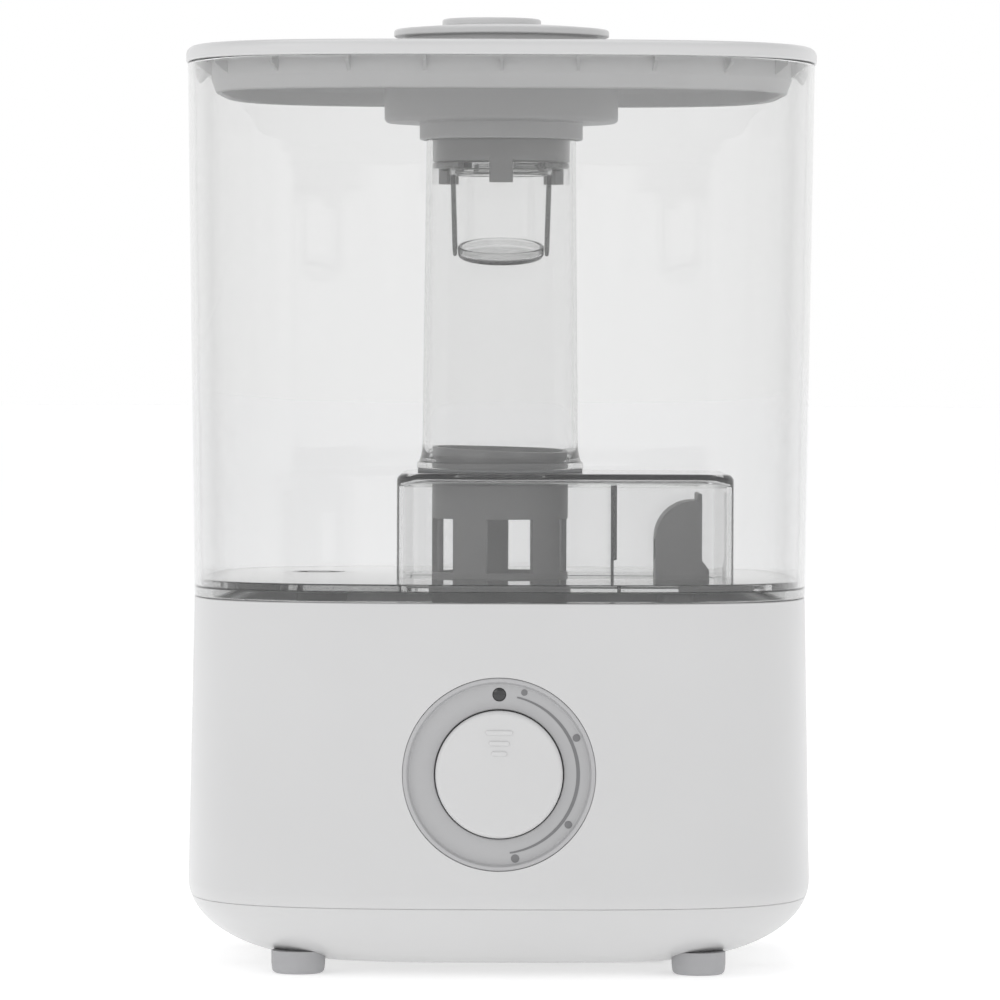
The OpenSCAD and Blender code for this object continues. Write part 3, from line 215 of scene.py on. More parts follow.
def rounded(corners, closed=False, steps=5):
    """A line through (u, v, radius) corners, each replaced by an arc that touches both sides.

    The arc's centre is radius / sin(half the corner) away along the middle of the corner."""
    corners = np.asarray(corners, float)
    point, radius = corners[:, :2], corners[:, 2]
    back = np.roll(point, 1, 0) - point
    ahead = np.roll(point, -1, 0) - point
    if not closed:
        radius = radius.copy()
        radius[[0, -1]] = 0
        back[0], ahead[-1] = -ahead[0], -back[-1]
    back_length, ahead_length = np.linalg.norm(back, axis=1), np.linalg.norm(ahead, axis=1)
    back, ahead = back / back_length[:, None], ahead / ahead_length[:, None]
    half = np.arccos(np.clip((back * ahead).sum(1), -1, 1)) / 2
    straight = half > math.radians(89.9)
    half = np.where(straight, math.radians(89.9), half)
    reach = np.where(straight, 0, radius / np.tan(half))
    reach = np.minimum(reach, 0.49 * np.minimum(back_length, ahead_length))
    radius = reach * np.tan(half)
    middle = back + ahead
    middle = middle / np.maximum(np.linalg.norm(middle, axis=1), 1e-9)[:, None]
    centre = point + middle * (radius / np.sin(half))[:, None]
    start = point + back * reach[:, None] - centre
    end = point + ahead * reach[:, None] - centre
    swing = np.pi - 2 * half
    share = np.linspace(0, 1, steps + 1)[None, :, None]
    swing = np.maximum(swing, 1e-6)[:, None, None]
    arc = (np.sin((1 - share) * swing) * start[:, None] + np.sin(share * swing) * end[:, None])
    line = (centre[:, None] + arc / np.sin(swing)).reshape(-1, 2)
    apart = np.linalg.norm(line - np.roll(line, 1, 0), axis=1) > 1e-5
    if not closed:
        apart[0] = True
    return line[apart]


def quads(rows, cols, wrap_rows, wrap_cols):
    """Faces that join each point of a grid to the next row and column."""
    r = np.arange(rows if wrap_rows else rows - 1)
    c = np.arange(cols if wrap_cols else cols - 1)
    r, c = np.meshgrid(r, c, indexing="ij")
    r1, c1 = (r + 1) % rows, (c + 1) % cols
    grid = [r * cols + c, r * cols + c1, r1 * cols + c1, r1 * cols + c]
    return np.stack(grid, -1).reshape(-1, 4)


def outwards(points, faces):
    """The skin with its faces turned so that it holds a positive volume."""
    volume = 0.0
    for group in faces:
        corner = points[group]
        crossed = np.cross(corner[:, 1:-1], corner[:, 2:])
        volume += (corner[:, :1] * crossed).sum()
    return points, (faces if volume > 0 else [group[:, ::-1] for group in faces])


def stack(rings, loop=False):
    """A closed skin through rings of points, with flat ends or the last ring on the first."""
    rows, cols = rings.shape[:2]
    faces = [quads(rows, cols, loop, True)]
    if not loop:
        ends = np.arange(cols)
        faces.append(np.stack([ends[::-1], (rows - 1) * cols + ends]))
    return outwards(rings.reshape(-1, 3), faces)


def lifted(flat, heights):
    """Rings of (x, y) points, each ring set at its own height."""
    heights = np.broadcast_to(heights[:, None, None], flat.shape[:2] + (1,))
    return np.concatenate([flat, heights], -1)


def body_rings(g, profile):
    """Rings of the body's outline, one for each (inset, height) of a profile."""
    profile = np.asarray(profile, float)
    return lifted((g.half - profile[:, :1])[:, None] * g.outline[None], profile[:, 1])


def circle_rings(g, profile):
    """Circles that share the outline's headings, one for each (radius, height) of a profile."""
    return lifted(profile[:, 0, None, None] * around(g.angle)[None], profile[:, 1])


def turned(profile, loop=False, sides=128, centre=(0, 0)):
    """A (radius, height) profile turned about an upright axis: x = r cos t, y = r sin t."""
    profile = np.asarray(profile, float)
    flat = np.array(centre) + profile[:, 0, None, None] * around(headings(sides))
    rings = lifted(flat, profile[:, 1])
    if loop:
        return stack(rings, True)
    tips = [end for end in (0, -1) if profile[end, 0] < 1e-6]
    if not tips:
        return stack(rings)
    kept = rings[(1 if 0 in tips else 0):(len(rings) - 1 if -1 in tips else len(rings))]
    rows, cols = kept.shape[:2]
    faces = [quads(rows, cols, False, True)]
    points = kept.reshape(-1, 3)
    across = np.arange(cols)
    for end in (0, -1):
        row = 0 if end == 0 else (rows - 1) * cols
        if end in tips:
            tip = np.full(cols, len(points))
            fan = np.stack([row + np.roll(across, -1), row + across, tip], -1)
            points = np.concatenate([points, [[*centre, profile[end, 1]]]])
        else:
            fan = (row + across[::-1])[None]
        faces.append(fan if end == 0 else fan[:, ::-1])
    return outwards(points, faces)


def rod(r, z0, z1, centre=(0, 0), soft=0.0, sides=64):
    """An upright cylinder with its ends rounded."""
    return turned(rounded([(0, z0, 0), (r, z0, soft), (r, z1, soft), (0, z1, 0)], steps=3),
                  sides=sides, centre=centre)


def rectangle(x0, x1, y0, y1, r, steps=8):
    """A rectangle with round corners, anticlockwise."""
    corners = [(x1, y0, r), (x1, y1, r), (x0, y1, r), (x0, y0, r)]
    return rounded(corners, closed=True, steps=steps)


def tower(plan_box, edge, r, steps):
    """A round-cornered rectangle (x0, x1, y0, y1), drawn in by the insets of its edge line."""
    x0, x1, y0, y1 = plan_box
    plan = rectangle(x0, x1, y0, y1, r, steps)
    middle = np.array([(x0 + x1) / 2, (y0 + y1) / 2])
    reach = np.array([(x1 - x0) / 2, (y1 - y0) / 2])
    share = (reach - edge[:, :1]) / reach
    return stack(lifted(middle + (plan - middle)[None] * share[:, None], edge[:, 1]))


def pad(x0, x1, y0, y1, z0, z1, r=1.0, soft=0.0, steps=8):
    """An upright box with round corners, whose top and bottom edges are rounded too."""
    edge = rounded([(4, z0, 0), (0, z0, soft), (0, z1, soft), (4, z1, 0)], steps=3)[1:-1]
    edge = edge if soft else np.array([(0, z0), (0, z1)], float)
    return tower((x0, x1, y0, y1), edge, r, steps)


def prism(outline, y0, y1):
    """A flat (x, z) outline carried along y."""
    outline = np.asarray(outline, float)
    ends = lifted(np.stack([outline, outline]), np.array([y0, y1], float))
    return stack(ends[..., [0, 2, 1]])


def moved(skin, matrix, offset=(0, 0, 0)):
    """The skin with each point p replaced by matrix p + offset; a mirrored one is turned back."""
    points, faces = skin
    return outwards(points @ np.asarray(matrix, float).T + np.asarray(offset, float), faces)


def spun(skin, degrees):
    a = math.radians(degrees)
    return moved(skin, [[math.cos(a), -math.sin(a), 0], [math.sin(a), math.cos(a), 0], [0, 0, 1]])


def facing_back(skin, place):
    """An upright skin laid down so that its top points along +y, then moved to a place."""
    return moved(skin, [[1, 0, 0], [0, 0, 1], [0, -1, 0]], place)


def on_dial(g, skin):
    """A skin in the dial's own frame (x right, y up, z out) set in the tilted front."""
    lean = math.pi / 2 - g.tilt
    c, s = math.cos(lean), math.sin(lean)
    return moved(skin, [[1, 0, 0], [0, c, -s], [0, s, c]], (0, -g.front, g.dial_z))


# ---- pieces ----

def new_object(name, skins):
    """A mesh object from skins in millimetres."""
    points, faces, start = [], [], 0
    for skin_points, skin_faces in skins:
        points.append(skin_points)
        faces += [face for group in skin_faces for face in (group + start).tolist()]
        start += len(skin_points)
    mesh = bpy.data.meshes.new(name)
    mesh.from_pydata((np.concatenate(points) * MM).tolist(), [], faces)
    obj = bpy.data.objects.new(name, mesh)
    bpy.context.scene.collection.objects.link(obj)
    return obj


def combine(obj, tool, operation="DIFFERENCE"):
    """Cuts an object out of a piece, or joins it to it, with an exact boolean."""
    modifier = obj.modifiers.new("Carve", "BOOLEAN")
    modifier.operation, modifier.solver, modifier.object = operation, "EXACT", tool
    settle(obj)
    bpy.data.objects.remove(tool)


def carve(obj, skins, operation="DIFFERENCE"):
    """The same with skins."""
    combine(obj, new_object("tool", skins), operation)


def settle(obj):
    """Makes the modifiers' result the object's own mesh."""
    bpy.context.view_layer.update()
    graph = bpy.context.evaluated_depsgraph_get()
    mesh = bpy.data.meshes.new_from_object(obj.evaluated_get(graph))
    obj.modifiers.clear()
    old = obj.data
    obj.data = mesh
    bpy.data.meshes.remove(old)


def shade(mesh, crease):
    """Smooth faces, with a sharp edge where two of them turn by more than the crease angle."""
    mesh.polygons.foreach_set("use_smooth", np.ones(len(mesh.polygons), bool))
    mesh.set_sharp_from_angle(angle=crease)


def finish(obj, body, material, nodes, crease=40, bevel=0.0):
    """Shades a piece, softens its sharp edges if asked, sets it under its body and hides the frame
    nodes it replaces.
    """
    crease = math.radians(crease)
    mesh = obj.data
    work = bmesh.new()
    work.from_mesh(mesh)
    bmesh.ops.remove_doubles(work, verts=work.verts, dist=MERGE_DISTANCE)
    bmesh.ops.dissolve_degenerate(work, edges=work.edges, dist=MERGE_DISTANCE / 2)
    work.to_mesh(mesh)
    work.free()
    mesh.materials.clear()
    mesh.materials.append(bpy.data.materials[material])
    mesh.polygons.foreach_set("material_index", np.zeros(len(mesh.polygons), np.int32))
    shade(mesh, crease)
    if bevel:
        soften = obj.modifiers.new("Soft edges", "BEVEL")
        soften.width, soften.segments = bevel * MM, 2
        soften.limit_method, soften.angle_limit = "ANGLE", crease
        soften.harden_normals = False
        settle(obj)
        shade(obj.data, crease)
    weigh = obj.modifiers.new("Even shading", "WEIGHTED_NORMAL")
    weigh.keep_sharp, weigh.weight = True, 50
    settle(obj)
    if body:
        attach(obj, body)
    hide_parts(*nodes)


def dress(node, name):
    """Gives a frame node a procedural material through its object's slots."""
    obj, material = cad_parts[node], bpy.data.materials[name]
    if not obj.material_slots:
        obj.data.materials.append(material)
    for place in obj.material_slots:
        place.material = material


# ---- node groups and materials ----

# The arms are of one moulding with the splash guard; this many times its tint is painted shade for
# their dark look.
ARM_SHADE = 4
SOCKETS = {type(None): "NodeSocketVector", tuple: "NodeSocketColor", float: "NodeSocketFloat"}


def new_group(name, **inputs):
    """A node group with named inputs, as (group, input node's outputs, output node)."""
    group = bpy.data.node_groups.new(name, "ShaderNodeTree")
    for label, default in {"Vector": None, **inputs}.items():
        socket = group.interface.new_socket(
            name=label.replace("_", " "), in_out="INPUT", socket_type=SOCKETS[type(default)])
        if default is not None:
            socket.default_value = default
    for label, kind in (("Colour", tuple), ("Roughness", float), ("Height", float)):
        group.interface.new_socket(name=label, in_out="OUTPUT", socket_type=SOCKETS[kind])
    into = group.nodes.new("NodeGroupInput").outputs
    return group, into, group.nodes.new("NodeGroupOutput")


def fill(tree, node, inputs):
    """Sets the inputs of a node, each to a value or to another node's output."""
    for key, value in inputs.items():
        if isinstance(value, bpy.types.NodeSocket):
            tree.links.new(value, node.inputs[key])
        else:
            node.inputs[key].default_value = value


def add(tree, kind, inputs, output=0, **settings):
    """A shader node with its inputs and settings filled in, as one of its outputs."""
    node = tree.nodes.new("ShaderNode" + kind)
    for key, value in settings.items():
        setattr(node, key, value)
    fill(tree, node, inputs)
    return node.outputs[output]


def moulding_group():
    """Moulded plastic: a slow drift of tone and gloss over the piece, and a fine eroded grain."""
    group, into, out = new_group("Moulded plastic", Colour=(0.8, 0.8, 0.8, 1), Drift=0.03,
                                 Gloss=0.25, Satin=0.35, Grain_size=1100.0)
    slow = add(group, "TexNoise", {"Vector": into["Vector"], "Scale": 14.0, "Detail": 2.0})
    fine = add(group, "TexNoise", {"Vector": into["Vector"], "Scale": into["Grain size"],
                                   "Detail": 3.0, "Roughness": 0.6})
    spread = add(group, "MapRange", {"Value": slow, "From Min": 0.3, "From Max": 0.7})
    drift = add(group, "Math", {0: spread, 1: into["Drift"]}, operation="MULTIPLY")
    keep = add(group, "Math", {0: 1.0, 1: drift}, operation="SUBTRACT")
    tone = add(group, "VectorMath", {0: into["Colour"], "Scale": keep}, operation="SCALE")
    broad = add(group, "Math", {0: spread, 1: 0.7}, operation="MULTIPLY")
    grain = add(group, "Math", {0: fine, 1: 0.3, 2: broad}, operation="MULTIPLY_ADD")
    rough = add(group, "MapRange", {"Value": grain, "To Min": into["Gloss"],
                                    "To Max": into["Satin"]})
    fill(group, out, {"Colour": tone, "Roughness": rough, "Height": fine})
    return group


def metal_group():
    """Drawn or pressed metal: streaks stretched along one axis, with specks of duller tone."""
    group, into, out = new_group("Worked metal", Colour=(0.6, 0.6, 0.6, 1), Bright=0.22,
                                 Dull=0.42)
    stretch = add(group, "Mapping", {"Vector": into["Vector"], "Scale": (900.0, 900.0, 60.0)})
    streak = add(group, "TexNoise", {"Vector": stretch, "Scale": 1.0, "Detail": 4.0})
    speck = add(group, "TexNoise", {"Vector": into["Vector"], "Scale": 160.0, "Detail": 2.0})
    dull = add(group, "MapRange", {"Value": speck, "From Min": 0.25, "From Max": 0.75,
                                   "To Min": 0.82})
    tone = add(group, "VectorMath", {0: into["Colour"], "Scale": dull}, operation="SCALE")
    rough = add(group, "MapRange", {"Value": streak, "From Min": 0.3, "From Max": 0.7,
                                    "To Min": into["Bright"], "To Max": into["Dull"]})
    fill(group, out, {"Colour": tone, "Roughness": rough, "Height": streak})
    return group


def new_material(name):
    """A material as (material, node tree, its Principled shader, object coordinates)."""
    material = bpy.data.materials.new(name)
    material.use_nodes = True
    tree = material.node_tree
    return material, tree, tree.nodes["Principled BSDF"], add(tree, "TexCoord", {}, "Object")


def material_of(name, group, values, bump, depth, **constants):
    """A Principled material fed by a node group through a shallow bump."""
    material, tree, shader, place = new_material(name)
    fill(tree, shader, {key.replace("_", " "): value for key, value in constants.items()})
    effect = tree.nodes.new("ShaderNodeGroup")
    effect.node_tree = group
    fill(tree, effect, {"Vector": place, **values})
    made = effect.outputs
    raised = add(tree, "Bump", {"Strength": bump, "Distance": depth, "Height": made["Height"]})
    fill(tree, shader, {"Normal": raised, "Roughness": made["Roughness"]})
    if "Transmission_Weight" not in constants:
        fill(tree, shader, {"Base Color": made["Colour"]})
    return material


def colour_ramp(tree, share, low, high, interpolation="LINEAR"):
    """A ramp between two (position, colour) ends."""
    node = tree.nodes.new("ShaderNodeValToRGB")
    node.color_ramp.interpolation = interpolation
    for element, (position, tone) in zip(node.color_ramp.elements, (low, high)):
        element.position, element.color = position, tone
    fill(tree, node, {"Fac": share})
    return node.outputs["Color"]


def foam_material():
    """Open foam: cells sunk between raised walls, with painted shade darkening the cells' middles.
    """
    _, tree, shader, place = new_material("Filter foam")
    cells = add(tree, "TexVoronoi", {"Vector": place, "Scale": 900.0}, "Distance",
                feature="DISTANCE_TO_EDGE")
    walls = add(tree, "Bump", {"Strength": 0.8, "Distance": 0.0006, "Height": cells}, invert=True)
    dry = add(tree, "MapRange", {"Value": cells, "From Max": 0.3, "To Min": 0.8, "To Max": 1.0})
    # Painted shade: the colour darkens towards each cell's middle, the deepest part of the sunk
    # pores.
    ramp = colour_ramp(tree, cells, (0, (0.05, 0.05, 0.055, 1)), (0.25, (0.008, 0.008, 0.009, 1)))
    fill(tree, shader, {"Base Color": ramp, "Roughness": dry, "Normal": walls})


def board_material():
    """Circuit board: green mask with lighter copper tracks on a square grid."""
    _, tree, shader, place = new_material("Circuit board")
    bricks = add(tree, "TexBrick", {
        "Vector": place, "Color1": (0.0, 0.0, 0.0, 1), "Color2": (0.0, 0.0, 0.0, 1),
        "Mortar": (1, 1, 1, 1), "Scale": 60.0, "Mortar Size": 0.03, "Mortar Smooth": 0.3,
        "Brick Width": 0.9, "Row Height": 0.24}, "Fac")
    mix = tree.nodes.new("ShaderNodeMix")
    mix.data_type = "RGBA"
    fill(tree, mix, {"Factor": bricks, "A": (0.012, 0.09, 0.04, 1), "B": (0.03, 0.17, 0.07, 1)})
    gloss = add(tree, "MapRange", {"Value": bricks, "To Min": 0.25, "To Max": 0.4})
    track = add(tree, "Bump", {"Strength": 0.3, "Distance": 0.0001, "Height": bricks})
    fill(tree, shader, {"Base Color": mix.outputs["Result"], "Roughness": gloss, "Normal": track})


def make_materials(scene):
    """Every finish of the humidifier, built once and looked up by name."""
    if "White plastic" in bpy.data.materials:
        return
    look = scene.humidifier_finish
    plastic, metal = moulding_group(), metal_group()

    def moulded(name, tone, gloss, satin, bump=0.04, drift=0.03, grain=1100.0, **constants):
        values = {"Colour": (*tone, 1), "Drift": drift, "Gloss": gloss, "Satin": satin,
                  "Grain size": grain}
        return material_of(name, plastic, values, bump, 0.0001, IOR=1.5, **constants)

    def worked(name, tone, bright, dull):
        values = {"Colour": (*tone, 1), "Bright": bright, "Dull": dull}
        material_of(name, metal, values, 0.15, 0.00005, Metallic=1.0)

    moulded("White plastic", look.white, 0.28, 0.36, 0.012, grain=1800.0, Coat_Weight=0.15,
            Coat_Roughness=0.12)
    # Painted light: a brighter copy of the white plastic for the liner, basin and duct.
    moulded("Lit inner plastic", look.inner, 0.36, 0.5)
    moulded("Gray plastic", look.gray, 0.32, 0.42)
    # Painted shade: a gray copy of the white plastic for the mist guide and the cowl.
    moulded("Shaded guide plastic", look.guide, 0.34, 0.46)
    # Painted shade: a gray copy of the white plastic for the nozzle well under the lid.
    moulded("Shaded well plastic", look.well, 0.34, 0.46)
    moulded("Black plastic", (0.012, 0.012, 0.013), 0.4, 0.55, 0.2)
    moulded("Marks", look.marks, 0.5, 0.6, 0.05)
    moulded("Gray rubber", look.rubber, 0.6, 0.8, 0.35, 0.08, 1600.0)
    moulded("Black rubber", (0.01, 0.01, 0.01), 0.6, 0.8, 0.35, 0.08, 1600.0)
    moulded("Smoked lens", (0.018, 0.018, 0.02), 0.05, 0.12, 0.02, Coat_Weight=0.6,
            Coat_Roughness=0.03)
    moulded("Lamp resin", (0.75, 0.8, 0.85), 0.05, 0.15, 0.02, Coat_Weight=0.5)
    # The floor plate's weaker tint is painted light, and the baffle's, guard's and arms' stronger
    # tints are painted shade: all four materials are the one clear plastic.
    for name, depth in (("Clear plastic", look.tint_depth), ("Lit floor plastic", look.floor_lit_depth),
                        ("Shaded clear plastic", look.shade_depth),
                        ("Shaded arm plastic", look.shade_depth * ARM_SHADE)):
        clear = moulded(name, (1, 1, 1), 0.0, 0.02, 0.015, 0.0, 60.0,
                        Transmission_Weight=1.0, Base_Color=(0.99, 0.99, 0.99, 1))
        tree = clear.node_tree
        body = add(tree, "VolumeAbsorption", {"Color": (*look.tint, 1), "Density": depth})
        fill(tree, tree.nodes["Material Output"], {"Volume": body})
    worked("Steel", (0.56, 0.56, 0.57), 0.2, 0.38)
    worked("Brass", (0.72, 0.5, 0.2), 0.18, 0.34)
    worked("Alloy", (0.6, 0.6, 0.61), 0.32, 0.5)
    foam_material()
    board_material()


class PieceOperator:
    """What the piece operators share: undo, and the materials made before the first piece."""
    bl_options = {"REGISTER", "UNDO"}

    def execute(self, context):
        make_materials(context.scene)
        self.build(measure(context.scene))
        return {"FINISHED"}


# ---- base ----

FOOT_ANGLE = math.radians(47)
FOOT_INSET = 22.5
SCREW_INSET = 20
BOSS_R = 4.5
PILOT_R = 1.5
JACK, JACK_INSET, JACK_R = (-45, 38), 12, 5.6
FAN_X = 30
VENTS, VENT_PITCH, VENT_HALF = 9, 5.2, 1.3


def four(x, y):
    """A point mirrored both ways."""
    return [(side * x, end * y) for side in (-1, 1) for end in (-1, 1)]


def foot_places(g):
    """The four feet, at one heading of the outline set in by FOOT_INSET, mirrored both ways."""
    c, s = around(FOOT_ANGLE) ** (2 / g.power)
    return four((g.half[0] - FOOT_INSET) * c, (g.half[1] - FOOT_INSET) * s)


def under(g, inset):
    """Height of the rounded underside at an inset."""
    return g.wide - g.round_h * math.sqrt(1 - ((g.round_in - inset) / g.round_w) ** 2)


def foot_seat(g):
    """Height of the flat on which a foot's disc bears."""
    return under(g, FOOT_INSET) + 1


def screw_places(g):
    return four(g.half[0] - SCREW_INSET, 28)


class HUMIDIFIER_OT_base(PieceOperator, bpy.types.Operator):
    """Adds the base shell, the bottom pan and the rubber feet"""
    bl_idname = "humidifier.base"
    bl_label = "Base"

    def build(self, g):
        self.shell(g)
        self.pan(g)
        self.feet(g)

    def shell(self, g):
        """A closed profile carried round the outline, then bored for the dial and the inlet."""
        wall = g.base_wall
        heights = np.concatenate([np.linspace(g.parting, g.wide, 5),
                                  np.linspace(g.wide, g.seam, 20)[1:]])
        radii = np.zeros(len(heights))
        radii[0], radii[-1] = 0.35, 0.6
        outer = np.stack([base_inset(g, heights), heights, radii], -1)
        ledge, ledge_in = g.flange - 2.4, g.base_top_in + wall + 4
        inner = [(g.base_top_in + wall, g.seam, 0.4), (g.base_top_in + wall, ledge, 0.4),
                 (ledge_in, ledge, 0.3), (ledge_in, ledge - 3, 0.3),
                 (float(base_inset(g, ledge - 3)) + wall, ledge - 3, 1.0),
                 (g.base_in + wall, g.wide, 0),
                 (float(base_inset(g, g.parting)) + wall, g.parting, 0.3)]
        obj = new_object("base_body", [stack(body_rings(
            g, rounded(np.concatenate([outer, inner]), closed=True)), True)])
        carve(obj, [rod(BOSS_R, g.parting, g.parting + 15, place, 0.3, 32)
                    for place in screw_places(g)], "UNION")
        jack = (JACK[0], g.half[1] - JACK_INSET, JACK[1])
        carve(obj, [on_dial(g, rod(g.dial_r + 0.1, -5, 12, sides=160)),
                    facing_back(rod(JACK_R, 0, 20, sides=64), jack)]
              + [rod(PILOT_R, g.parting - 1, g.parting + 11, place, sides=24)
                 for place in screw_places(g)])
        finish(obj, "base", "White plastic", ["base_shell"])

    def pan(self, g):
        """The rounded underside, hollowed except for its posts, with a lip inside the base."""
        wall = g.base_wall

        def bowl(t, top, steps=18):
            end = math.acos((g.wide - top) / (g.round_h - t))
            a = np.linspace(0, end, steps)
            return np.stack([g.round_in - (g.round_w - t) * np.sin(a),
                             g.wide - (g.round_h - t) * np.cos(a), np.zeros(steps)], -1)

        outer = bowl(0, g.parting)
        outer[-1, 2] = 0.35
        rim = rounded(np.concatenate([outer, [(8, g.parting, 0)]]))
        obj = new_object("bottom_pan", [stack(body_rings(g, rim))])
        inner = bowl(wall, g.parting)
        hollow = np.concatenate([inner[:, :2], [(inner[-1, 0], g.parting + 3)]])
        cavity = new_object("cavity", [stack(body_rings(g, hollow))])
        posts = [rod(11, 0, 13.2, place) for place in foot_places(g)]
        posts += [rod(BOSS_R, 0, g.parting + 9, place, sides=32) for place in screw_places(g)]
        posts += [rod(4, 0, g.bottom + wall + 21, (FAN_X + x, y), sides=32)
                  for x, y in four(25, 25)]
        posts += [rod(3.5, 0, g.bottom + wall + 14, (x, y), sides=32)
                  for x in (-54, -14) for y in (-22, 34)]
        carve(cavity, posts)
        combine(obj, cavity)
        lip = float(base_inset(g, g.parting)) + wall + 0.3
        low, high = g.parting - 2, g.parting + 3
        band = rounded([(lip, low, 0), (lip, high, 0.3), (lip + 1.5, high, 0.3),
                        (lip + 1.5, low, 0)], closed=True)
        carve(obj, [stack(body_rings(g, band), True)], "UNION")
        head = under(g, SCREW_INSET) + 4
        cuts = [rod(8.6, -1, foot_seat(g), place, sides=96) for place in foot_places(g)]
        cuts += [rod(3.3, -1, head, place, sides=48) for place in screw_places(g)]
        cuts += [rod(1.7, head - 1, 40, place, sides=24) for place in screw_places(g)]
        vents = FAN_X + VENT_PITCH * (np.arange(VENTS) - VENTS // 2)
        cuts += [pad(x - VENT_HALF, x + VENT_HALF, -21, 21, -1, 6, VENT_HALF - 0.01, 0, 6)
                 for x in vents]
        carve(obj, cuts)
        finish(obj, "base", "White plastic", ["base_pan"])

    def feet(self, g):
        """A soft-edged disc turned about each foot's axis, with a stem above it."""
        seat = foot_seat(g)
        profile = rounded([(0, 0, 0), (8.1, 0, 1.5), (8.5, 3.2, 1), (8.5, seat, 0.2),
                           (3, seat, 0.2), (3, seat + 4, 0.6), (0, seat + 4, 0)], steps=6)
        obj = new_object("soft_feet", [turned(profile, sides=72, centre=place)
                                       for place in foot_places(g)])
        finish(obj, "base", "Gray rubber", ["rubber_feet"])


class HUMIDIFIER_OT_basin(PieceOperator, bpy.types.Operator):
    """Adds the water basin with its well, air duct and lever bracket"""
    bl_idname = "humidifier.basin"
    bl_label = "Water basin"

    def build(self, g):
        """A tray profile carried round the outline, joined to a turned well and a square duct."""
        wall = g.base_wall
        out = g.base_top_in + wall + 4.5
        profile = rounded([
            (60, g.tray - wall, 0), (out, g.tray - wall, 4), (out, g.flange - 2.4, 0.5),
            (g.base_top_in + wall + 0.3, g.flange - 2.4, 0.4),
            (g.base_top_in + wall + 0.3, g.flange, 0.5), (out + wall, g.flange, 0.8),
            (out + wall, g.tray, 3), (60, g.tray, 0)], steps=6)
        obj = new_object("basin", [stack(body_rings(g, profile))])
        well = g.guide_r - 3
        duct = (52.05, 63.65, -12.25, 12.25)
        carve(obj, [rod(well + wall, g.tray - 11, g.tray - wall + 1, soft=0.6, sides=128),
                    pad(*duct, g.tray - 9.5, g.seam + 9, 2.5, 0.5)], "UNION")
        pin = np.array([g.valve[0], g.valve[1] - 14, g.tray + 6])
        foot, half = g.tray - pin[2] - 0.5, 3.5
        ear = prism(rounded([(-half, foot, 0), (half, foot, 0), (half, half, 3.4),
                             (-half, half, 3.4)], closed=True, steps=10), -1, 1)
        carve(obj, [moved(ear, [[0, 1, 0], [1, 0, 0], [0, 0, 1]], pin + [side * 6.2, 0, 0])
                    for side in (-1, 1)], "UNION")
        bore = moved(rod(1.5, -12, 12, sides=48), [[0, 0, 1], [0, 1, 0], [-1, 0, 0]], pin)
        inner = (duct[0] + 1.5, duct[1] - 1.5, duct[2] + 1.5, duct[3] - 1.5)
        low = g.tray - 11
        cuts = [rod(well, g.tray - 8, g.tray + 5, sides=128), rod(8, low - 5, g.tray, sides=64),
                rod(12.1, low - 5, low + 1.5, sides=64), pad(*inner, 70, g.seam + 20, 1.5), bore]
        cuts += [rod(PILOT_R, low - 5, low + 2.2, 16 * around(a), sides=24)
                 for a in np.radians([30, 150, 270])]
        for cut in cuts:
            carve(obj, [cut])
        finish(obj, "base", "Lit inner plastic", ["water_basin"])


class HUMIDIFIER_OT_cowl(PieceOperator, bpy.types.Operator):
    """Adds the air cowl that caps the duct"""
    bl_idname = "humidifier.cowl"
    bl_label = "Air cowl"

    def build(self, g):
        """A side profile with one large round corner, carried across and hollowed from below."""
        x0, x1, wall, curve = 50.3, 65.4, 1.5, 12.5
        z0, z1 = g.seam + 0.4, g.seam + 30.2
        flare, flare_z, nib, half = 2.6, g.seam + 8, 2.4, 14
        a = np.radians(np.linspace(90, 180, 20))

        def shoulder(r):
            return np.array([x0 + curve, z1 - curve]) + r * around(a)

        side = rounded([
            (x0, z0, 0), (x1 + flare, z0, 0), (x1 + flare, flare_z, 0.6), (x1, flare_z + 3, 1.2),
            (x1, z1 + nib, 0.6), (x1 - wall, z1 + nib, 0.6), (x1 - wall, z1, 0.2)])
        side = np.concatenate([side, shoulder(curve)])
        hollow = [(x0 + wall, z0 - 1), (x1 - wall, z0 - 1), (x1 - wall, z1 - wall)]
        hollow = np.concatenate([hollow, shoulder(curve - wall)])
        obj = new_object("cowl", [prism(side, -half, half)])
        carve(obj, [prism(hollow, wall - half, half - wall)])
        window = pad(-10, 10, g.seam + 11, z1 - curve, -3, 3, 1.5)
        carve(obj, [moved(window, [[0, 0, 1], [1, 0, 0], [0, 1, 0]], (x0, 0, 0))])
        # The cowl's gray is painted shade on white plastic.
        finish(obj, "base", "Shaded guide plastic", ["air_cowl"],
               crease=35, bevel=0.35)


# ---- dial ----

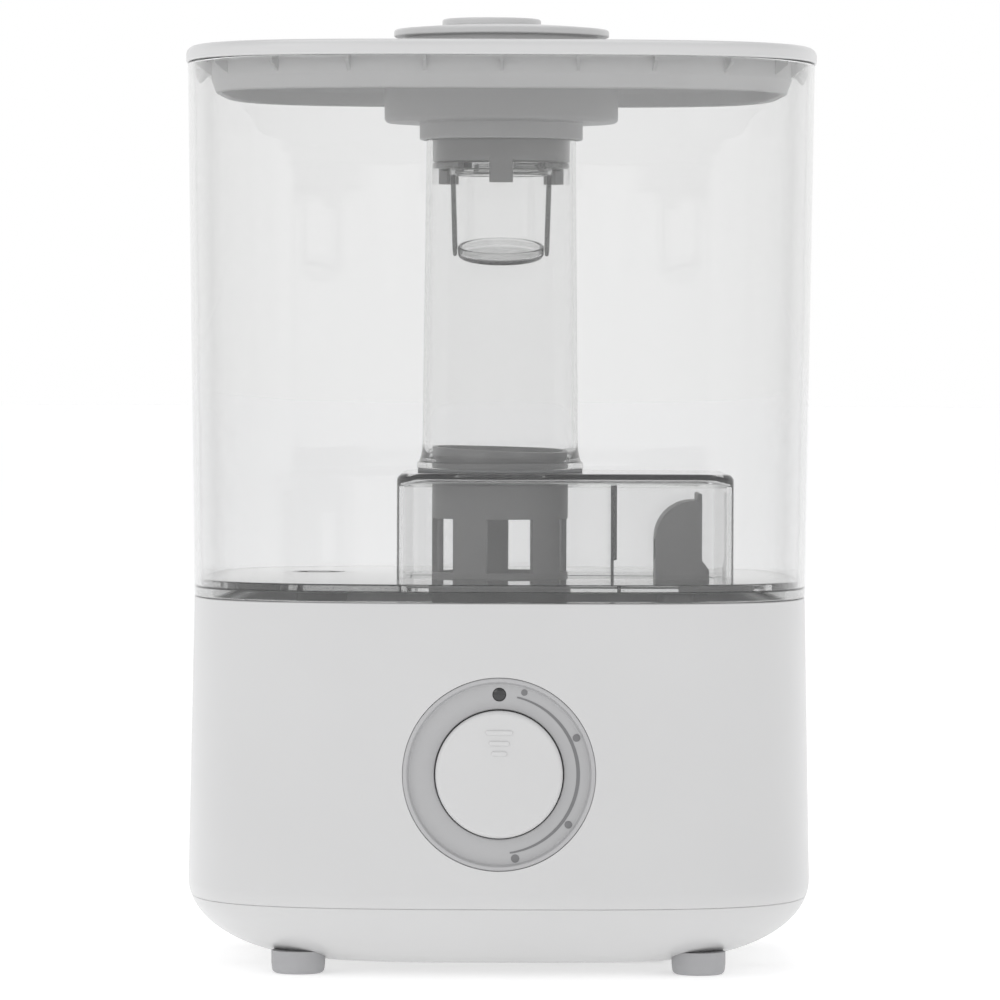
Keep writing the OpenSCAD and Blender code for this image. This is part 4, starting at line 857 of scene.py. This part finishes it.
class HUMIDIFIER_OT_dial(PieceOperator, bpy.types.Operator):
    """Adds the dial ring with its printed scale, the indicator lens and the knob"""
    bl_idname = "humidifier.dial"
    bl_label = "Dial"

    def build(self, g):
        pocket = g.knob_r + 0.35
        self.face, self.floor = -0.2, -2.2
        self.back = self.floor - 5
        self.lens_y = (pocket + g.dial_r) / 2 - 0.3
        self.ring(g, pocket)
        self.marks(g)
        self.lens(g)
        self.knob(g)

    def ring(self, g, pocket):
        """A stepped profile turned about the dial's axis, bored for the lens."""
        r, wall = g.dial_r, 1.5
        profile = rounded([
            (4.1, self.back - wall, 0.2), (pocket + wall, self.back - wall, 0.5),
            (pocket + wall, self.floor - wall, 0.5), (r + 3, self.face - 3.5 - wall, 0.4),
            (r + 3, self.face - 3.5, 0.3), (r, self.face - 3.5, 0.2), (r, self.face, 0.45),
            (r - 1.3, self.face, 0.45), (r - 1.9, self.floor, 0.5), (pocket, self.floor, 0.45),
            (pocket, self.back, 0.5), (4.1, self.back, 0.2)], closed=True, steps=5)
        obj = new_object("dial_bezel", [on_dial(g, turned(profile, True, 192))])
        carve(obj, [on_dial(g, rod(2.15, self.floor - 4, 3, (0, self.lens_y), sides=48))])
        finish(obj, "base", "Gray plastic", ["dial_ring"])

    def marks(self, g):
        """An arc whose half width is 0.25 + 0.3 sin of the share of its length, and four dots."""
        arc = self.lens_y - 0.2
        share = np.linspace(0, 1, 161)
        a = np.radians(77 - 159 * share)
        swell = 0.25 + 0.3 * np.sin(np.pi * share)
        low, high = self.floor - 0.03, self.floor + 0.12
        corners = [(arc + swell, low), (arc + swell, high), (arc - swell, high), (arc - swell, low)]
        rings = np.stack([np.stack([r * np.cos(a), r * np.sin(a), np.full(len(a), z)], -1)
                          for r, z in corners], 1)
        skins = [stack(rings)]
        for turn, wide in ((0.1, 2.0), (0.38, 2.4), (0.74, 2.4), (0.994, 2.6)):
            place = (arc + 2) * around(math.radians(90 - 170 * turn))
            skins.append(rod(wide / 2, low, high, place, 0.04, 40))
        obj = new_object("dial_print", [on_dial(g, skin) for skin in skins])
        finish(obj, "base", "Marks", ["dial_marks"])

    def lens(self, g):
        """A short rod whose end is a shallow dome."""
        top = self.floor + 0.25
        profile = rounded([(0, self.floor - 2.5, 0), (2.05, self.floor - 2.5, 0.2),
                           (2.05, top - 0.35, 0.3), (1.2, top - 0.05, 1.2), (0, top, 0)], steps=6)
        obj = new_object("indicator_lens", [on_dial(g, turned(profile, sides=48,
                                                              centre=(0, self.lens_y)))])
        finish(obj, "base", "Smoked lens", ["led_lens"])

    def knob(self, g):
        """A cup turned about the dial's axis, its face hollow as r^2, with three bars on it."""
        r, proud, skirt, plate = g.knob_r, 1.2, 1.6, 2.5
        back, boss, boss_back = self.back + 0.4, 5.2, self.back + 2.8
        radius = np.linspace(r - 3.2, 0, 12)
        face = proud - 0.05 + 0.05 * (radius / r) ** 2
        profile = np.concatenate([
            rounded([(0, boss_back, 0), (boss, boss_back, 0.4), (boss, proud - plate, 0.6),
                     (r - skirt, proud - plate, 0.6), (r - skirt, back, 0.3), (r, back, 0.3),
                     (r, proud - 0.01, 2.2), (r - 3, proud - 0.01, 0)], steps=9),
            np.stack([radius, face], -1)])
        obj = new_object("dial_knob", [on_dial(g, turned(profile, sides=192))])
        bars = [pad(-wide / 2 - 0.7, wide / 2 + 0.7, y - 0.7, y + 0.7, proud - 0.6, proud + 0.42,
                    0.69, 0.25) for y, wide in ((13, 7), (9.7, 5), (6.5, 3.5))]
        carve(obj, [on_dial(g, bar) for bar in bars], "UNION")
        carve(obj, [on_dial(g, rod(3, boss_back - 1, proud - 1.5, sides=48))])
        finish(obj, "knob", "White plastic", ["knob"])


# ---- tank ----

class HUMIDIFIER_OT_tank(PieceOperator, bpy.types.Operator):
    """Adds the clear tank wall, its floor with the raised chamber, the mist tube and its gasket"""
    bl_idname = "humidifier.tank"
    bl_label = "Tank"

    def build(self, g):
        self.wall(g)
        self.floor(g)
        self.tube(g)

    def wall(self, g):
        """A tapering wall with a foot turned inwards, carried round the outline."""
        wall, foot, rim = g.tank_wall, 3.0, 0.5
        profile = rounded([
            (foot, g.seam, 0.5), (rim, g.rim, 0.9), (rim + wall, g.rim, 0.9),
            (foot + wall, g.floor, 0.4), (foot + wall + 3.5, g.floor, 0.4),
            (foot + wall + 3.5, g.seam, 0.4)], closed=True, steps=5)
        obj = new_object("tank_shell", [stack(body_rings(g, profile), True)])
        finish(obj, "tank", "Clear plastic", ["tank_wall"])

    def floor(self, g):
        """A plate, a box that stands on it, open below, and the baffle inside the box."""
        wall, half, corner, valve_r = 2.0, 38.0, 9.0, 9.0
        baffle_x, baffle_half = 35.5, 26
        x0, x1 = -g.tube_r0 - 7.8, 75.0
        rest = g.floor_top + 0.05
        plate = rounded([(80, g.floor, 0), (g.tank_wall + 3.1, g.floor, 0.3),
                         (g.tank_wall + 3.1, g.floor_top, 0.5), (80, g.floor_top, 0)], steps=4)
        slab = new_object("tank_bottom", [stack(body_rings(g, plate))])

        def box(inset, low):
            edge = rounded([(0, low, 0), (0, g.roof - inset, 2.5), (6, g.roof - inset, 0)], steps=7)
            plan_box = (x0 + inset, x1 - inset, inset - half, half - inset)
            return tower(plan_box, edge[:-1], corner - inset, 10)

        carve(slab, [box(wall, g.floor - 1)])
        carve(slab, [rod(valve_r, g.floor - 1, g.floor_top + 1, g.valve, sides=72)])
        # The plate's weaker tint is painted light; the box and baffle of the same moulding take
        # other tints.
        finish(slab, "tank", "Lit floor plastic", ["tank_floor"])
        chamber = new_object("tank_chamber", [box(0, rest)])
        carve(chamber, [box(wall, rest - 1)])
        carve(chamber, [rod(g.tube_r0 - g.tube_wall, g.floor + 10, g.roof + 20, sides=160)])
        finish(chamber, "tank", "Clear plastic", ["tank_floor"])
        baffle = new_object("tank_baffle", [pad(
            baffle_x, baffle_x + 2, -baffle_half, baffle_half, g.seam + 11.5,
            g.roof - wall - 0.05, 0.8, 0.3)])
        carve(baffle, [pad(baffle_x, baffle_x + 1, -baffle_half, baffle_half, g.seam + 1.2,
                           g.seam + 12, 0.4)], "UNION")
        # The baffle's strong tint is painted shade; the rest of this moulding takes the clear
        # plastic.
        finish(baffle, "tank", "Shaded clear plastic", ["tank_floor"])

    def tube(self, g):
        """The tube's wall and its foot, turned about the middle, over a flat gasket."""
        flare, rise = 1.8, 7
        bore, foot = g.tube_r0 - g.tube_wall, g.tube_r0 + flare
        blend = g.tube_z0 + 2
        a = np.radians(np.linspace(0, 90, 12))
        curve = np.stack([g.tube_r0 + flare * (1 - np.sin(a)), blend + rise * (1 - np.cos(a)),
                          0 * a], -1)
        profile = rounded(np.concatenate([
            [(bore, g.tube_z0, 0.3), (foot, g.tube_z0, 0.5), (foot, blend - 0.3, 0.3)], curve,
            [(g.tube_r, g.tube_z1, 0.7), (g.tube_r - g.tube_wall, g.tube_z1, 0.7),
             (bore, blend + rise, 3)]]), closed=True, steps=5)
        obj = new_object("mist_pipe", [turned(profile, True, 160)])
        finish(obj, "tank", "Clear plastic", ["mist_tube"])
        edge = foot - 0.3
        washer = rounded([(bore, g.roof, 0.3), (edge, g.roof, 0.3), (edge, g.tube_z0, 0.3),
                          (bore, g.tube_z0, 0.3)], closed=True, steps=4)
        obj = new_object("pipe_washer", [turned(washer, True, 128)])
        finish(obj, "tank", "Gray rubber", ["tube_gasket"])


class HUMIDIFIER_OT_spring(PieceOperator, bpy.types.Operator):
    """Adds the valve's spring; in the real valve it shortens as the valve opens"""
    bl_idname = "humidifier.spring"
    bl_label = "Valve spring"

    def build(self, g):
        """A round wire along a helix whose pitch closes up at both ends."""
        wire, coil, turns = 0.4, 5.8, 4
        low, high = g.tray + 18.0 + wire, g.floor + 0.2 - wire
        share = np.linspace(0, 1, 48 * turns + 1)
        a = 2 * np.pi * turns * share
        rise = np.clip((share - 0.12) / 0.76, 0, 1)
        path = np.stack([coil * np.cos(a), coil * np.sin(a), low + (high - low) * rise], -1)
        ahead = np.gradient(path, axis=0)
        ahead /= np.linalg.norm(ahead, axis=1)[:, None]
        out = np.stack([np.cos(a), np.sin(a), 0 * a], -1)
        up = np.cross(ahead, out)
        c, s = around(headings(12)).T[:, None, :, None]
        rings = path[:, None] + wire * (c * out[:, None] + s * up[:, None])
        rings = rings + np.array([*g.valve, 0])
        obj = new_object("valve_coil", [stack(rings)])
        finish(obj, None, "Steel", ["valve_spring"])
        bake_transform(obj)


class HUMIDIFIER_OT_guide(PieceOperator, bpy.types.Operator):
    """Adds the slotted mist guide that stands in the basin"""
    bl_idname = "humidifier.guide"
    bl_label = "Mist guide"

    def build(self, g):
        """A tube skin on a grid of headings and heights, left open at five slots and notches.

        Its top is the slanted plane z = top - x tan(lean)."""
        r, wall, slots = g.guide_r, 1.7, 5
        lean, top = math.tan(math.radians(2.5)), g.roof + 6.7
        slot_low, slot_high, notch = g.seam + 6.9, g.seam + 24.2, g.tray + 8
        half_slot, half_notch = math.asin(7.5 / r), math.asin(4 / r)
        middles = np.radians(8.7 - 90 + 360 * np.arange(slots) / slots)
        edges = middles[:, None] + np.array([-half_slot, -half_notch, half_notch, half_slot])
        edges = np.sort(edges.reshape(-1) % (2 * np.pi))
        gaps = np.diff(np.concatenate([edges, [edges[0] + 2 * np.pi]]))
        turn = np.concatenate([start + gap * np.arange(n) / n for start, gap, n in
                               zip(edges, gaps, np.maximum(1, np.ceil(gaps / 0.05)).astype(int))])
        ring = r * around(turn)
        height = np.array([[g.tray], [notch], [slot_low], [slot_high]]) + 0 * turn
        height = np.concatenate([height, [top - ring[:, 0] * lean]])
        points = np.concatenate([ring + 0 * height[..., None], height[..., None]], -1)
        cells = quads(5, len(turn), False, True)
        row = np.repeat(np.arange(4), len(turn))
        centre = np.tile(turn + 0.5 * np.diff(np.concatenate([turn, [turn[0] + 2 * np.pi]])), 4)
        away = np.abs((centre[:, None] - middles + np.pi) % (2 * np.pi) - np.pi).min(1)
        open_cell = ((row == 2) & (away < half_slot)) | ((row == 0) & (away < half_notch))
        obj = new_object("mist_cage", [(points.reshape(-1, 3), [cells[~open_cell]])])
        thick = obj.modifiers.new("Wall", "SOLIDIFY")
        thick.thickness, thick.offset = wall * MM, -1
        thick.use_even_offset = True
        settle(obj)
        flange = turned(rounded([(r - 0.4, g.tray, 0), (r + 3.5, g.tray, 0.4),
                                 (r + 3.5, g.tray + 1.6, 0.4), (r - 0.4, g.tray + 1.6, 0)],
                                closed=True, steps=3), True, 128)
        carve(obj, [flange], "UNION")
        gaps = [spun(pad(r / 2, r * 1.5, -4, 4, g.tray - 1, notch, 0.5), math.degrees(m))
                for m in middles]
        carve(obj, gaps)
        # The guide's gray is painted shade on white plastic.
        finish(obj, "mist_guide", "Shaded guide plastic", ["mist_guide"],
               crease=35, bevel=0.3)


# ---- lid ----

HOOK_HALF = 3.7


def three(*skins):
    """Skins at each of the three hooks of the nozzle well."""
    return [spun(skin, turn) for turn in (-90, 30, 150) for skin in skins]


class HUMIDIFIER_OT_lid(PieceOperator, bpy.types.Operator):
    """Adds the lid's cover, its liner with centring ribs and the nozzle well"""
    bl_idname = "humidifier.lid"
    bl_label = "Lid"

    def build(self, g):
        self.pocket = g.rim + 2.6
        self.well_r = 37.85
        self.cover(g)
        self.liner(g)
        self.well(g)

    def cover(self, g):
        """A plate between the body's outline and a round hole, with its edge turned down."""
        hole = self.well_r - 1.8
        edge = rounded([(12, self.pocket, 0), (6, self.pocket, 0.5), (6, g.rim, 0.3),
                        (0, g.rim, 0.7), (0, g.top, 3.0), (8, g.top, 0)], steps=8)
        bore = rounded([(hole + 4, g.top, 0), (hole, g.top, 0.7), (hole, self.pocket, 0.2),
                        (hole + 4, self.pocket, 0)], steps=5)
        rings = np.concatenate([body_rings(g, edge), circle_rings(g, bore)])
        obj = new_object("lid_plate", [stack(rings, True)])
        finish(obj, "lid", "White plastic", ["lid_cover"])

    def liner(self, g):
        """A plate with a tapered skirt, and ribs set evenly along the skirt's outline."""
        high, low = self.pocket - 0.1, self.pocket - 2.0
        taper, end, skirt, wall = g.rim - 5.5, g.rim - 10, 7.5, 2.0
        edge = rounded([
            (12, low, 0), (skirt + wall, low, 0.8), (skirt + wall, taper, 2),
            (skirt + wall + 1.5, end, 0.9), (skirt + 1.5, end, 0.9), (skirt, taper, 2),
            (skirt, low, 0.4), (6.1, low, 0.2), (6.1, high, 0.3), (12, high, 0)], steps=5)
        bore = np.array([(self.well_r + 0.1, high), (self.well_r + 0.1, low)])
        rings = np.concatenate([body_rings(g, edge), circle_rings(g, bore)])
        obj = new_object("lid_liner_plate", [stack(rings, True)])
        share = (np.arange(g.ribs) + (g.ribs / 4) % 1) / g.ribs * OUTLINE_POINTS

        def at_ribs(line):
            line = np.concatenate([line, line[:1]])
            index = np.arange(OUTLINE_POINTS + 1)
            return np.stack([np.interp(share, index, line[:, k]) for k in (0, 1)], -1)

        path = (g.half - skirt) * g.outline
        place, ahead = at_ribs(path), at_ribs(np.gradient(path, axis=0))
        ahead /= np.linalg.norm(ahead, axis=1)[:, None]
        reach, over = 3.8, 0.9
        side = rounded([(-over, low + 0.3, 0), (over, low + 0.3, 0.2), (over, g.rim - 0.3, 0.2),
                        (reach, g.rim - 0.3, 0.3), (reach, g.rim - 1.5, 0.4),
                        (-over, taper, 0)], closed=True, steps=3)
        rib = prism(side, -0.5, 0.5)
        ribs = []
        for (x, y), (tx, ty) in zip(place, ahead):
            ribs.append(moved(rib, [[ty, -tx, 0], [-tx, -ty, 0], [0, 0, 1]], (x, y, 0)))
        carve(obj, ribs, "UNION")
        # The liner's extra brightness is painted light on the lid's shaded underside.
        finish(obj, "lid", "Lit inner plastic", ["lid_liner"])

    def well(self, g):
        """A cup, a sleeve round the mist tube and a holder inside it, turned as one profile."""
        r, floor, top = self.well_r, g.well_floor, g.well_floor + 1.8
        sleeve = g.tube_r + 2.3
        profile = rounded([
            (r, self.pocket, 0.2), (r, floor, 1.6), (sleeve, floor, 0.6), (sleeve, g.sleeve, 0.7),
            (sleeve - 1.8, g.sleeve, 0.7), (sleeve - 1.8, floor - 1, 0.3),
            (g.holder_r, floor - 1, 0.3), (g.holder_r, g.holder, 0.5), (g.bore_r, g.holder, 0.5),
            (g.bore_r, top, 0.8), (r - 1.8, top, 1.0), (r - 1.8, self.pocket, 0.3)],
            closed=True, steps=5)
        obj = new_object("nozzle_cup", [turned(profile, True, 192)])
        guard_z0 = g.holder - 2.3
        low, wide = g.holder - 6.9, (-HOOK_HALF, HOOK_HALF)
        leg = pad(g.bore_r, g.bore_r + 1.8, *wide, low, g.holder + 1, 0.5)
        toe = pad(g.bore_r - 2.2, g.bore_r + 0.5, *wide, low, guard_z0 - 0.3, 0.5, 0.3)
        for part in three(leg, toe):
            carve(obj, [part], "UNION")
        # The well's gray is painted shade on white plastic.
        finish(obj, "lid", "Shaded well plastic", ["nozzle_well"])


class HUMIDIFIER_OT_guard(PieceOperator, bpy.types.Operator):
    """Adds the clear splash guard that hangs from the nozzle well"""
    bl_idname = "humidifier.guard"
    bl_label = "Splash guard"

    def build(self, g):
        """A flange with windows, a dish turned about an axis tilted forwards, and two arms."""
        high, low = g.holder - 0.3, g.holder - 2.3
        r, inner = g.holder_r, g.holder_r - 5.4
        dish_z, dish_r, tilt = g.rim - 64.5, 13.9, math.radians(12)
        ring = rounded([(inner - 1.5, low - 2, 0.4), (inner, low - 2, 0.4), (inner, low, 0.4),
                        (r, low, 0.4), (r, high, 0.4), (inner - 1.5, high, 0.4)],
                       closed=True, steps=4)
        obj = new_object("splash_cup", [turned(ring, True, 160)])
        half = math.degrees(math.asin(HOOK_HALF / g.bore_r)) + 1.5

        def window(r0, a0, a1):
            side = around(np.radians(np.linspace(a0, a1, 12)))
            arc = np.concatenate([r0 * side, (r + 1) * side[::-1]])
            return stack(lifted(np.stack([arc, arc]), np.array([low - 1, high + 1])))

        for cut in three(window(g.bore_r - 0.4, -half - 20, half),
                         window(g.bore_r - 2.8, -half - 20, half - 20)):
            carve(obj, [cut])
        cup = rounded([(0, 0, 0), (dish_r, 0, 1.4), (dish_r, 4, 0.5), (dish_r - 1.3, 4, 0.5),
                       (dish_r - 1.3, 1.3, 0.8), (0, 1.3, 0)], steps=5)
        c, s = math.cos(tilt), math.sin(tilt)
        dish = moved(turned(cup, sides=96), [[1, 0, 0], [0, c, -s], [0, s, c]],
                     (0, 0, dish_z + dish_r * s))
        carve(obj, [dish], "UNION")
        # The guard's strong tint is painted shade on clear plastic.
        finish(obj, "splash_guard", "Shaded clear plastic",
               ["splash_guard"])
        arm = rounded([(inner - 0.45, low - 2.05, 0.2), (inner - 2.05, low - 2.05, 0.2),
                       (dish_r + 0.08, dish_z + 5.8, 0.3), (dish_r + 0.3, dish_z + 3.4, 0.6),
                       (dish_r + 1.5, dish_z + 3.4, 0.6), (dish_r + 1.7, dish_z + 5.8, 0.3)],
                      closed=True, steps=4)
        skins = [spun(prism(arm, -2.5, 2.5), heading) for heading in (0, 180)]
        arms = new_object("splash_arms", skins)
        # The arms' darker tint is painted shade; they are of the guard's own plastic.
        finish(arms, "splash_guard", "Shaded arm plastic",
               ["splash_guard"], bevel=0.2)


# ---- nozzle ----

class HUMIDIFIER_OT_nozzle(PieceOperator, bpy.types.Operator):
    """Adds the turning nozzle and the cap over its outlet"""
    bl_idname = "humidifier.nozzle"
    bl_label = "Nozzle"

    def build(self, g):
        """A disc whose top rises as 1 - r^2 above its edge, on a neck, with an off-centre bore."""
        r, edge, dome, gap = g.nozzle_r, 2.4, 1.8, 4.6
        z0 = g.top + gap
        z1 = z0 + edge
        neck, wall, foot = r - 3.75, 2.0, g.well_floor + 2.0
        off, cap_r = 3.2, 15.95
        seat = z1 + dome * (1 - ((cap_r + off) / (r - edge / 4)) ** 2)
        u = np.linspace(0.97, 0, 24)
        crown = np.stack([(r - 0.6) * u, z1 + dome * (1 - u ** 2)], -1)
        v = np.linspace(0, 1, 12)
        under_side = np.stack([(neck - wall) * v, z1 + dome * (1 - (0.8 * v) ** 2) - 2.2], -1)
        rim = rounded([(neck, foot, 0.5), (neck, z0, 0.8), (r, z0, 0.6),
                       (r, z1, 1.2), (crown[0, 0], crown[0, 1], 0)], steps=7)[1:]
        lower = rounded([(neck - wall, z1 - 2, 0), (neck - wall, foot, 0.6), (neck, foot, 0.6),
                         (neck, foot + 2, 0)], steps=5)
        profile = np.concatenate([lower[:-1], rim, crown[1:], under_side[1:]])
        obj = new_object("turning_nozzle", [turned(profile, sides=192)])
        bore = cap_r - 2.6
        carve(obj, [rod(bore + 0.1, z0 - 2, z0 + 18, (-off, 0), sides=128)])
        carve(obj, [rod(cap_r + 0.1, seat, seat + 18, (-off, 0), sides=128)])
        finish(obj, "nozzle", "White plastic", ["mist_nozzle"])
        hole, top = bore - 1.8, z1 + dome + 1.7
        ring = rounded([(hole, z0 - 1, 0.3), (bore, z0 - 1, 0.3), (bore, seat, 0.2),
                        (cap_r, seat, 0.2), (cap_r, top, 0.8), (hole, top, 0.8)],
                       closed=True, steps=5)
        obj = new_object("outlet_cap", [turned(ring, True, 160, (-off, 0))])
        long = hole + 0.4
        for x in (-0.37 * hole - off, 0.37 * hole - off):
            carve(obj, [pad(x - 0.8, x + 0.8, -long, long, z0, z0 + 3, 0.3, 0.3)], "UNION")
        finish(obj, "nozzle", "White plastic", ["nozzle_cap"])


# ---- inner pieces that keep the frame's shape ----

FINISH_OF_NODE = {
    "Lit inner plastic": ["air_duct", "float_block", "reed_switch"],
    "White plastic": ["float_arm", "valve_guide", "valve_plunger"],
    "Black plastic": ["fan_case", "fan_rotor", "driver_parts", "dc_jack"],
    "Black rubber": ["transducer_seal", "valve_seal"],
    "Steel": ["fan_screws", "transducer_bracket", "transducer_screws", "board_screws",
              "potentiometer", "dial_shaft", "case_screws", "jack_pin", "float_magnet",
              "lever_pin"],
    "Brass": ["transducer_disc", "pot_nut"],
    "Alloy": ["heatsink"],
    "Circuit board": ["driver_board", "control_board"],
    "Filter foam": ["filter_sponge"],
    "Lamp resin": ["status_led"],
}


class HUMIDIFIER_OT_inner(PieceOperator, bpy.types.Operator):
    """Gives the fan, electronics, float and valve their finishes"""
    bl_idname = "humidifier.inner"
    bl_label = "Inner pieces"

    def build(self, g):
        for name, nodes in FINISH_OF_NODE.items():
            for node in nodes:
                dress(node, name)


# ---- stage ----

FLOOR_GLOW = 0.395


LAMPS = (("Key light", (-1.3, -1.5, 1.5), (0, 0, 0.15), 1.6, 6.5),
         ("Fill light", (1.5, -1.2, 1.0), (0, 0, 0.15), 1.6, 1.2),
         ("Top light", (0.0, 0.3, 2.0), (0, 0, 0.2), 1.5, 9))
CAMERA_PLACE, CAMERA_TARGET = (0, -2.09, 0.197), (0, 0, 0.1478)
CAMERA_LENS, CAMERA_ROLL = 232.5, math.radians(0.2)


def facing(place, target):
    return (Vector(target) - Vector(place)).to_track_quat("-Z", "Y")


def area_light(name, place, target, size, power):
    """A square soft box that faces a point."""
    data = bpy.data.lights.new(name, "AREA")
    data.shape, data.size, data.energy = "SQUARE", size, power
    lamp = bpy.data.objects.new(name, data)
    bpy.context.scene.collection.objects.link(lamp)
    lamp.location = place
    lamp.rotation_euler = facing(place, target).to_euler()


class HUMIDIFIER_OT_stage(bpy.types.Operator):
    """Adds the floor, the soft light and the camera"""
    bl_idname = "humidifier.stage"
    bl_label = "Stage"
    bl_options = {"REGISTER", "UNDO"}

    def execute(self, context):
        self.floor()
        self.world(context.scene)
        for lamp in LAMPS:
            area_light(*lamp)
        self.camera(context.scene)
        return {"FINISHED"}

    def floor(self):
        """A round disc, wide enough that its edge is out of sight."""
        sides, drop = 96, 0.02
        rings = np.array([0.3, 1, 3, 8, 20]) / MM
        grid = lifted(rings[:, None, None] * around(headings(sides)), -drop + 0 * rings)
        faces = [quads(len(rings), sides, False, True), np.arange(sides)[None]]
        obj = new_object("floor", [(grid.reshape(-1, 3), faces)])
        if obj.data.polygons[0].normal.z < 0:
            obj.data.flip_normals()
        material, tree, shader, place = new_material("Floor")
        cloud = add(tree, "TexNoise", {"Vector": place, "Scale": 3.0, "Detail": 2.0})
        pale = add(tree, "MapRange", {"Value": cloud, "To Min": 0.86, "To Max": 0.88})
        dry = add(tree, "MapRange", {"Value": cloud, "To Min": 0.7, "To Max": 0.8})
        fill(tree, shader, {"Base Color": pale, "Roughness": dry,
                            "Emission Color": (1, 1, 1, 1), "Emission Strength": FLOOR_GLOW})
        obj.data.materials.append(material)

    def world(self, scene):
        """White round the horizon, dimmer overhead."""
        world = bpy.data.worlds.new("Studio")
        world.use_nodes = True
        scene.world = world
        tree = world.node_tree
        split = add(tree, "SeparateXYZ", {"Vector": add(tree, "TexCoord", {}, "Generated")}, "Z")
        sky = colour_ramp(tree, split, (0.25, (1, 1, 1, 1)), (0.75, (0.55, 0.55, 0.56, 1)), "EASE")
        fill(tree, tree.nodes["Background"], {"Color": sky, "Strength": 1.0})

    def camera(self, scene):
        data = bpy.data.cameras.new("Camera")
        data.lens, data.sensor_width, data.clip_end = CAMERA_LENS, 36, 60
        camera = bpy.data.objects.new("Camera", data)
        scene.collection.objects.link(camera)
        look = facing(CAMERA_PLACE, CAMERA_TARGET).to_matrix().to_4x4()
        lean = Matrix.Rotation(CAMERA_ROLL, 4, "Z")
        camera.matrix_world = Matrix.Translation(CAMERA_PLACE) @ look @ lean
        scene.camera = camera
        scene.view_settings.view_transform = "Standard"


class HUMIDIFIER_PT_panel(bpy.types.Panel):
    """Lists the humidifier's pieces, sizes and colours"""
    bl_idname = "HUMIDIFIER_PT_panel"
    bl_label = "Humidifier"
    bl_space_type = "VIEW_3D"
    bl_region_type = "UI"
    bl_category = "Humidifier"

    def draw(self, context):
        for operator in OPERATORS:
            self.layout.operator(operator.bl_idname)
        for group in (context.scene.humidifier_sizes, context.scene.humidifier_finish):
            column = self.layout.column(align=True)
            for name in group.bl_rna.properties.keys():
                if name not in ("rna_type", "name"):
                    column.prop(group, name)


OPERATORS = [HUMIDIFIER_OT_base, HUMIDIFIER_OT_basin, HUMIDIFIER_OT_cowl, HUMIDIFIER_OT_dial,
             HUMIDIFIER_OT_tank, HUMIDIFIER_OT_spring, HUMIDIFIER_OT_guide, HUMIDIFIER_OT_lid,
             HUMIDIFIER_OT_guard, HUMIDIFIER_OT_nozzle, HUMIDIFIER_OT_inner, HUMIDIFIER_OT_stage]
CLASSES = [HumidifierSizes, HumidifierFinish, *OPERATORS, HUMIDIFIER_PT_panel]


def register():
    for cls in CLASSES:
        bpy.utils.register_class(cls)
    bpy.types.Scene.humidifier_sizes = PointerProperty(type=HumidifierSizes)
    bpy.types.Scene.humidifier_finish = PointerProperty(type=HumidifierFinish)


def unregister():
    del bpy.types.Scene.humidifier_finish
    del bpy.types.Scene.humidifier_sizes
    for cls in reversed(CLASSES):
        bpy.utils.unregister_class(cls)


def main():
    """Adds every piece and the stage."""
    register()
    bpy.ops.humidifier.base()
    bpy.ops.humidifier.basin()
    bpy.ops.humidifier.cowl()
    bpy.ops.humidifier.dial()
    bpy.ops.humidifier.tank()
    bpy.ops.humidifier.spring()
    bpy.ops.humidifier.guide()
    bpy.ops.humidifier.lid()
    bpy.ops.humidifier.guard()
    bpy.ops.humidifier.nozzle()
    bpy.ops.humidifier.inner()
    bpy.ops.humidifier.stage()


if __name__ == "__main__":
    main()
